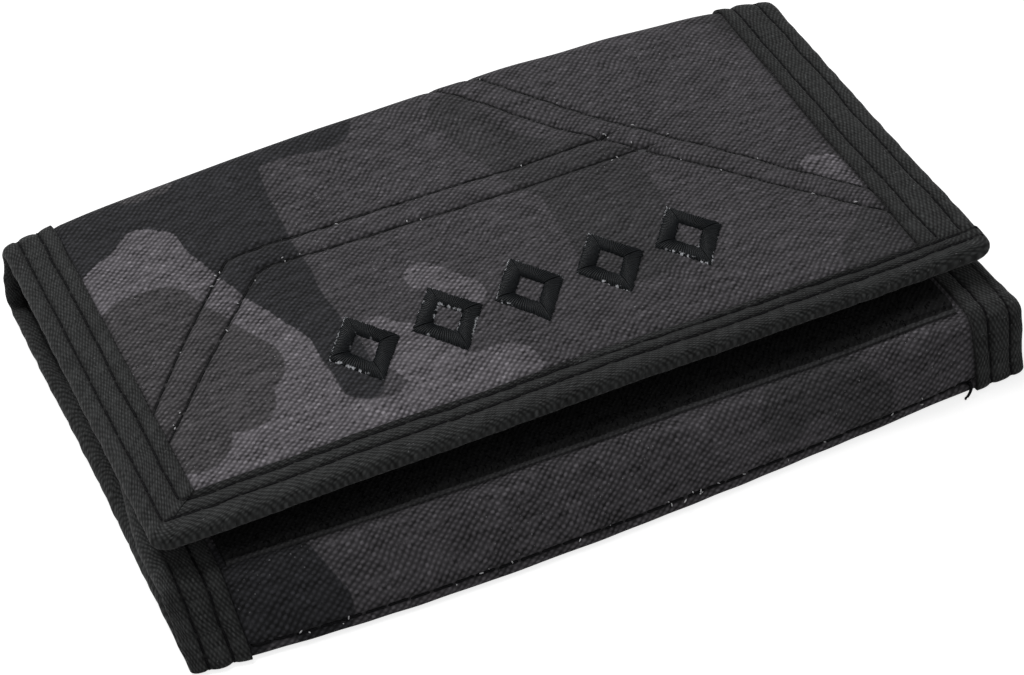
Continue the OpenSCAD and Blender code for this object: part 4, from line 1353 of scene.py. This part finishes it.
# Half the width of the flat sheets; the pockets' depth, the step between their mouths, the width
# and rise of their hems, and the thickness of their cloth
SHEET_HALF = 66
POCKET_DEEP, POCKET_STEP, HEM_W, HEM_RISE, POCKET_T = 63, 9, 3.1, 0.22, 0.33
divider_low, divider_high = cad_box("note_divider")
lying_sheet("note_divider_cloth", spaced(-SHEET_HALF, (SHEET_HALF, 1.6)),
            spaced(divider_low[1] + 0.4, (divider_high[1] - 0.8, 1.6)),
            cad_box("card_pocket_rear")[0][2] - 0.36, 0.32, LINING, "lining", "note_divider")
hem_rows = []
WINDOW_EDGE = 3.0
window_low, window_high = cad_box("id_window")
view_low, view_high = window_low + WINDOW_EDGE, window_high - WINDOW_EDGE
for level, word in enumerate(("rear", "middle", "front")):
    node = "card_pocket_" + word
    low = cad_box(node)[0]
    mouth = low[1] + POCKET_DEEP - POCKET_STEP * level
    z = low[2] + 0.03

    def hem(x, y, mouth=mouth):
        inside = np.clip((mouth - y) / 0.3, 0, 1) * np.clip((y - mouth + HEM_W) / 0.3, 0, 1)
        return HEM_RISE * inside * ease((61 - np.abs(x)) / 1.5)

    xs = spaced(-SHEET_HALF, (SHEET_HALF, 1.5))
    ys = spaced(low[1] + 0.3, (mouth - 3.4, 1.5), (mouth, 0.3))
    if word == "front":
        xs = spaced(-SHEET_HALF, (view_low[0], 1.5), (view_high[0], 1.5), (SHEET_HALF, 1.5))
        ys = spaced(low[1] + 0.3, (view_low[1], 1.0), (view_high[1], 1.5), (mouth - 3.4, 1.0),
                    (mouth, 0.3))
    lying_sheet(node + "_cloth", xs, ys, z, POCKET_T, LINING, "lining", node, hem=hem,
                keep=around_window if word == "front" else None)
    x = spaced(-60.5, (60.5, 0.7))
    y = np.full_like(x, mouth - 2.3)
    hem_rows.append(facing(lay(x, y, z + POCKET_T + HEM_RISE + stack_lift(x, y)), 1))

lying_sheet("window_sheet", spaced(window_low[0] + 0.3, (window_high[0] - 0.3, 1.5)),
            spaced(window_low[1] + 0.3, (window_high[1] - 0.3, 1.5)),
            window_low[2] - 0.13, 0.1, WINDOW, "window", "id_window",
            lambda x, y: stack_lift(x, y) + 0.03 * waves(x, y, 91, 25))
# The window's row of stitches runs this far outside its opening
ROW_OUT = 1.2
x0, y0 = view_low[:2] - ROW_OUT
x1, y1 = view_high[:2] + ROW_OUT
x, y = smooth_line([(x0, y0), (x1, y0), (x1, y1), (x0, y1), (x0, y0)]).T
front_top = cad_box("card_pocket_front")[0][2] + 0.36
hem_rows.append(facing(lay(x, y, front_top + stack_lift(x, y)), 1))
pocket_stitches = stitch_piece("pocket_stitches", hem_rows, seed=220, pitch=2.6, radius=0.13)
rides(pocket_stitches, "back", "thread")


# ---- Coin pocket ----

near_low, near_high = cad_box("coin_pocket_near")
far_high = cad_box("coin_pocket_far")[1]
tape_low, tape_high = cad_box("zip_tape_near")
ZIP_X = tape_high[0]
ZIP_Y = (cad_box("zip_teeth_near")[0][1] + cad_box("zip_teeth_far")[1][1]) / 2
ZIP_Z = (tape_low[2] + tape_high[2]) / 2
slit_near, slit_far = near_high[1], 2 * ZIP_Y - near_high[1]


def below_face(x, y):
    """Height added to the pocket's lower face: folded hems, which stand out below it, along both
    sides of the slit, and a little unevenness."""
    gap = np.abs(y - ZIP_Y) - (slit_far - ZIP_Y)
    hems = -HEM_RISE * np.clip((2.6 - gap) / 0.3, 0, 1) * ease((ZIP_X + 3 - np.abs(x)) / 1.5)
    return hems + 0.018 * waves(x, y, 95, 14)


def lay_face(x, y, z):
    """As lay, but without the uneven form beside the zipper, which is straight."""
    near_share = ease((slit_near - 0.3 - y) / 2.6)
    far_share = ease((y - slit_far - 4) / 8)
    free = np.maximum(ease((np.abs(x) - ZIP_X + 1) / 6), np.maximum(near_share, far_share))
    flat = np.stack(np.broadcast_arrays(x, y, z), -1)
    return flat + (lay(x, y, z) - flat) * free[..., None]


def beyond_slit(x, y):
    """The cells outside the slit."""
    mid_x, mid_y = centres(x, y)
    return ~((np.abs(mid_x) < ZIP_X) & (mid_y < slit_far))


def coin_face(name, ys, keep, node):
    xs = spaced(-SHEET_HALF, (-ZIP_X, 1.2), (ZIP_X, 1.4), (SHEET_HALF, 1.2))
    x, y = grid(xs, ys)
    top = far_high[2] - 0.02 + 0 * x
    piece = shell(name, lay_face(x, y, top - POCKET_T + below_face(x, y)), lay_face(x, y, top),
                  LINING, np.stack([x, y], -1), keep=keep(x, y) if keep else None)
    rides(piece, "inner_panel", "lining", node)


coin_face("coin_face_near", spaced(near_low[1] + 0.1, (slit_near, 0.3)), None, "coin_pocket_near")
far_ys = spaced(slit_near + 0.02, (slit_far, 1.0), (slit_far + 3, 0.3), (COIN_EDGE - 2.4, 1.3))
coin_face("coin_face_far", far_ys, beyond_slit, "coin_pocket_far")
x = spaced(-ZIP_X - 1, (ZIP_X + 1, 0.7))
zip_rows = []
for row_y in (slit_near - 0.9, slit_near - 2.1, slit_far + 0.9, slit_far + 2.1):
    y = np.full_like(x, row_y)
    zip_rows.append(facing(lay_face(x, y, far_high[2] - 0.35 + below_face(x, y)), -1))
zip_stitches = stitch_piece("zip_stitches", zip_rows, seed=240, pitch=2.4, radius=0.12)
rides(zip_stitches, "inner_panel", "thread")

GUSSET_STEP, GUSSET_RINGS = 1.5, 6
gusset_low, gusset_high = cad_box("coin_gusset")
far_y, near_y = far_high[1] - 7.4, near_low[1] + 1.2
gusset_loop = smooth_line([(-60.6, far_y), (-60.6, near_y), (60.6, near_y), (60.6, far_y),
                           (-60.2, far_y)], GUSSET_STEP)
g, level = grid(np.arange(len(gusset_loop)),
                np.linspace(gusset_low[2] + 0.05, gusset_high[2] - 0.05, GUSSET_RINGS))
tuck = (0.25 * np.sin(np.pi * np.linspace(0, 1, GUSSET_RINGS))
        * (1 + 0.3 * waves(g * GUSSET_STEP, level, 97, 9)))
ring_x, ring_y = gusset_loop[g][..., 0], gusset_loop[g][..., 1]
mid_y = (ring_y.min() + ring_y.max()) / 2
grow = 1 + tuck / 30
outer_ring = lay(ring_x * grow * 1.006, mid_y + (ring_y - mid_y) * (grow + 0.016), level)
inner_ring = lay(ring_x * grow, mid_y + (ring_y - mid_y) * grow, level)
gusset = shell("coin_gusset_band", outer_ring, inner_ring, LINING,
               np.stack([g * GUSSET_STEP, level], -1))
rides(gusset, "inner_panel", "lining", "coin_gusset")

# The zipper tapes: a bead along the teeth, BEAD_IN from the middle, and a thin web beside it
BEAD_IN = 1.3
ZIP_ACROSS = np.array([0, 0.08, 0.4, 0.72, 0.8, 0.86, 1.6, 2.4, 3.2, 3.7])
ZIP_THICK = np.array([0.2, 0.36, 0.4, 0.36, 0.2, 0.15, 0.15, 0.15, 0.15, 0.15])
x, across = grid(spaced(tape_low[0] + 0.05, (tape_high[0] - 0.05, 0.8)), ZIP_ACROSS)
half = np.interp(across, ZIP_ACROSS, ZIP_THICK)
for side, word in ((-1, "near"), (1, "far")):
    y = ZIP_Y + side * (BEAD_IN + across)
    piece = shell("zip_tape_cloth_" + word, lay_face(x, y, ZIP_Z - half),
                  lay_face(x, y, ZIP_Z + half), ZIP_CLOTH, np.stack([x, across], -1))
    rides(piece, "inner_panel", "zip_tape", "zip_tape_" + word)


# ---- Hook and loop ----

def bristles(name, root, up, seed, rise, reach, radius, material, closed):
    """Many small arcs on a tape: each rises from its root, leans over by its own amount and comes
    down again where it is a loop (closed), or stops as a hook."""
    draw = np.random.default_rng(seed)
    count = len(root)
    turn = np.linspace(0, math.pi * (0.95 if closed else 0.8), 5)
    angle = draw.uniform(0, math.tau, count) if closed else draw.normal(0, 0.25, count)
    ahead = np.stack([np.cos(angle), np.sin(angle), 0 * angle], -1)
    size = draw.uniform(0.8, 1.15, count)[:, None, None]
    centre = (root[:, None] + size * (ahead[:, None] * (reach * (1 - np.cos(turn)))[:, None]
              + up * (rise * np.sin(turn / (1 if closed else 1.25)))[:, None]))
    side = np.broadcast_to(np.cross(ahead, up)[:, None], centre.shape)
    out = np.cos(turn)[None, :, None] * -ahead[:, None] + np.sin(turn)[None, :, None] * up
    co, quads = tubes(centre, side, out, np.full(5, radius), sides=4)
    return make_mesh(name, co, quads, material, sharp=180)


HOOK_TAPE = fabric("hook_tape_cloth", rgb(14, 14, 15), warp=0.35, weft=0.45, weave_shade=0.6,
                   height=0.06, lint=0.1)
# Near black: the loop tape's own black, made darker still as painted shade for where it lies under the cover.
LOOP_TAPE = fabric("loop_tape_cloth", rgb(7, 7, 8), warp=0.5, weft=0.5, weave_shade=0.8, height=0.15,
                   lint=0.0, sheen=0.0, fleck=0.0, patches=[("edge", rgb(44, 44, 45))])
HOOK_PITCH, LOOP_PITCH = 1.25, 1.15
hook_low, hook_high = cad_box("hook_tape")
hook_s = (hook_low[1] - COVER_EDGE, hook_high[1] - COVER_EDGE)
x, s = grid(spaced(hook_low[0], (hook_high[0], 1.2)), spaced(hook_s[0], (hook_s[1], 1.0)))
hook_base = lining_depth(x, s) + 0.38
rides(layer("hook_tape_base", x, s, hook_base + 0.3, hook_base, True, HOOK_TAPE),
      "cover", "hooks", "hook_tape")
draw = np.random.default_rng(5)
x, s = grid(np.arange(hook_low[0] + 2, hook_high[0] - 1.5, HOOK_PITCH),
            np.arange(hook_s[0] + 1.4, hook_s[1] - 1, HOOK_PITCH))
x = (x + 0.6 * (np.arange(x.shape[1]) % 2)).ravel() + draw.normal(0, 0.06, x.size)
s = s.ravel() + draw.normal(0, 0.06, x.size)
root = at(x, s, lining_depth(x, s) + 0.62, True)
hooks = bristles("hooks", root, np.array([0, 0, -1.0]), seed=6, rise=0.62, reach=0.26, radius=0.1,
                 material=HOOKS, closed=False)
rides(hooks, "cover", "hooks")

loop_low, loop_high = cad_box("loop_tape")
loop_s = (S_COIN + 0.2, S_COIN + loop_high[1] - loop_low[1])
x, s = grid(spaced(loop_low[0], (loop_high[0], 1.0)),
            spaced(loop_s[0], (loop_s[0] + 1.6, 0.2), (loop_s[1] - 1.6, 1.0), (loop_s[1], 0.2)))
edge = np.minimum(s - loop_s[0], loop_s[1] - s)
pile_rise = 0.55 * ease((edge - 0.9) / 0.8) + 0.16 * np.exp(-(((edge - 0.35) / 0.3) ** 2))
rough = 0.12 * waves(x, s, 99, 3.2) * ease(edge - 1)
ground = front_depth(x, s) - 0.03
rides(layer("loop_tape_base", x, s, ground - 0.34 - pile_rise - rough, ground, False, LOOP_TAPE,
            {"edge": 0.75 - edge}), "inner_panel", "loops", "loop_tape")
x, s = grid(np.arange(loop_low[0] + 1, loop_high[0] - 0.6, LOOP_PITCH),
            np.arange(loop_s[0] + 1.4, loop_s[1] - 1.2, LOOP_PITCH))
x, s = x.ravel() + draw.normal(0, 0.3, x.size), s.ravel() + draw.normal(0, 0.3, x.size)
root = at(x, s, front_depth(x, s) - 0.78, False)
loops = bristles("loop_pile", root, np.array([0, 0, 1.0]), seed=7, rise=0.45, reach=0.32,
                 radius=0.06, material=PILE, closed=True)
rides(loops, "inner_panel", "loops")


# ---- Embroidered lozenges ----

# From the place under the image point to the row's middle, so that the middle of its outline in
# the image is at the point
MOTIF_SHIFT = np.array([1.2, 0.85, 0])
motif_at = spot("motif_middle", carrier_tree(cover_cloth)) + MOTIF_SHIFT
# Size of a lozenge and of its hole, and the row's pitch and count; then how many threads lie side
# by side in a limb, the points across a limb, and the points along it for each thread
LOZENGE_W, LOZENGE_H, HOLE_W, PITCH, COUNT = 12.0, 15.0, 5.0, 14.0, 5
THREADS, ACROSS, PER_THREAD = 22, 15, 6
ALONG = THREADS * PER_THREAD + 1


def satin_limb(corner_a, corner_b, hole_a, hole_b, middle, seed):
    """One limb of a lozenge in satin stitch: from its outer to its inner edge the section is half
    an ellipse, and along the limb each thread is one rib of a cosine, a little uneven. Returns
    its points and quads, and the two values that the material reads."""
    a, b = grid(np.linspace(0, 1, ALONG), np.linspace(0, 1, ACROSS))
    thread_number = a * THREADS
    rib = 0.5 + 0.5 * np.cos(math.tau * thread_number)
    ragged = 0.09 * waves(thread_number, 0 * a, seed, 2.3) + 0.07 * (rib - 0.5)
    width_share = (b - 0.5) * (1 + ragged) + 0.5
    outer = corner_a + (corner_b - corner_a) * a[..., None]
    inner = hole_a + (hole_b - hole_a) * a[..., None]
    place = outer + (inner - outer) * width_share[..., None] + middle
    high = np.sqrt(np.clip(1 - (2 * b - 1) ** 2, 0, 1))
    end = ease(np.minimum(a, 1 - a) / 0.06)
    height = high * (0.34 + 0.30 * end) + 0.15 * rib * high ** 0.5 - 0.06
    height = height + 0.03 * waves(thread_number, b * 3, seed + 50, 3)
    x, s = place[..., 0], place[..., 1] - COVER_EDGE
    base = cover_depth(x, s, SEAMS)
    return shell_parts(at(x, s, base - height, True), at(x, s, base + 0.2, True)), rib, np.abs(2 * b - 1)


parts, ribs, frays = [], [], []
tips = np.array([(LOZENGE_W / 2, 0), (0, LOZENGE_H / 2), (-LOZENGE_W / 2, 0), (0, -LOZENGE_H / 2)])
hole = tips * HOLE_W / LOZENGE_W
for i in range(COUNT):
    middle = motif_at[:2] + (PITCH * (i - (COUNT - 1) / 2), 0)
    for k in range(4):
        limb, rib, fray = satin_limb(tips[k], tips[k - 3], hole[k], hole[k - 3], middle, 300 + 4 * i + k)
        parts.append(limb)
        ribs += [rib.ravel()] * 2
        frays += [fray.ravel()] * 2
motif = make_mesh("satin_lozenges", *rows_of(parts), SATIN, sharp=180,
                  values={"rib": np.concatenate(ribs), "fray": np.concatenate(frays)})
rides(motif, "cover", "thread", "cover_motif")


# ---- Loose thread end and lint ----

STRAND_RINGS = 14
steps = np.linspace(0, 1, STRAND_RINGS)[:, None]
strand = (spot("thread_end", carrier_tree(near_cloth, coin_tape)) + np.array([0.6, 0.2, 1.6])
          + steps * np.array([-0.9, -1.6, -3.2]) + np.sin(steps * 5) * np.array([0.35, -0.2, 0.15]))
strand[:, 2] = np.maximum(strand[:, 2], 0.25)
ahead = unit(np.gradient(strand, axis=0))
side = unit(np.cross(ahead, (1.0, 0.3, 0.2)))
co, quads = tubes(strand[None], side[None], np.cross(side, ahead)[None],
                  np.linspace(0.34, 0.16, STRAND_RINGS))
rides(make_mesh("loose_thread_end", co, quads, THREAD, sharp=180), "inner_spine", "thread")


def lint_piece(name, lines, count, seed):
    """Specks of lint: tiny bent tubes scattered beside lines of (points, normals)."""
    draw = np.random.default_rng(seed)
    which = draw.integers(0, len(lines), count)
    centre, up = [], []
    for i in which:
        points, normals = lines[i]
        j = draw.integers(0, len(points))
        centre.append(points[j] + draw.normal(0, 0.3, 3) + normals[j] * 0.1)
        up.append(normals[j])
    centre, up = np.array(centre), np.array(up)
    way = unit(np.cross(up, draw.normal(0, 1, (count, 3))))
    share = np.linspace(-1, 1, 4)[None, :, None] * draw.uniform(0.1, 0.34, (count, 1, 1))
    line = centre[:, None] + way[:, None] * share + up[:, None] * (0.08 - share ** 2 * 0.5)
    side = np.broadcast_to(np.cross(up, way)[:, None], line.shape)
    ups = np.broadcast_to(up[:, None], line.shape)
    co, quads = tubes(line, side, ups, np.array([0.05, 0.11, 0.11, 0.05]), sides=4)
    return make_mesh(name, co, quads, LINT, sharp=180)


bends(lint_piece("cover_lint", seam_lines, count=60, seed=8), COVER_FOLD_ENDS, "thread")
bends(lint_piece("crease_lint", [crease_line], count=34, seed=9), CREASE_ENDS, "thread")


# ---- Carried-over zipper parts ----

for node, material in (("zip_teeth_near", TEETH), ("zip_teeth_far", TEETH), ("zip_top_stops", TEETH),
                       ("zip_bottom_stop", TEETH), ("zip_slider", METAL), ("zip_pull", METAL)):
    piece = frame["nodes"][node]
    piece.data.materials.clear()
    piece.data.materials.append(material)


# ---- Floor and light ----

WHITE = (1, 1, 1, 1)
FLOOR_REACH = 3
FLOOR, net, shader = new_material("pale_floor")
net.fill(shader, {"Base Color": rgb(186, 186, 186), "Roughness": 0.9, "Specular IOR Level": 0.0,
                  "Emission Color": WHITE, "Emission Strength": net.math("MULTIPLY", net.seen(), 0.74)})
floor_mesh = bpy.data.meshes.new("floor")
floor_corners = [(x * FLOOR_REACH, y * FLOOR_REACH, 0) for x, y in ((-1, -1), (1, -1), (1, 1), (-1, 1))]
floor_mesh.from_pydata(floor_corners, [], [(0, 1, 2, 3)])
floor_mesh.materials.append(FLOOR)
floor = bpy.data.objects.new("floor", floor_mesh)
scene.collection.objects.link(floor)
floor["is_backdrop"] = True

world = bpy.data.worlds.new("studio")
scene.world = world
world.use_nodes = True
net = Net(world.node_tree)
net.fill(world.node_tree.nodes["Background"], {0: WHITE, 1: net.ramp(net.seen(), 0, 1, 0.26, 1.0)})


def lamp(name, place, size, power):
    """A square soft lamp that faces the wallet."""
    data = bpy.data.lights.new(name, "AREA")
    data.size, data.energy = size, power
    made = bpy.data.objects.new(name, data)
    scene.collection.objects.link(made)
    made.location = place
    made.rotation_euler = (Vector((0, 0, 0.01)) - Vector(place)).to_track_quat("-Z", "Y").to_euler()


lamp("key", (-0.18, 0.42, 0.62), size=0.4, power=4.6)
lamp("fill", (0.0, -0.8, 0.5), size=0.6, power=1.7)
scene.view_settings.view_transform = "Standard"


# ---- What shows where ----

def shown_vertices():
    """Image places of every finished vertex of the object, piece by piece."""
    bpy.context.view_layer.update()
    out = {}
    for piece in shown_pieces():
        co = np.zeros(len(piece.data.vertices) * 3, np.float32)
        piece.data.vertices.foreach_get("co", co)
        out[piece.name] = image_place(co.reshape(-1, 3))
    return out


places = shown_vertices()
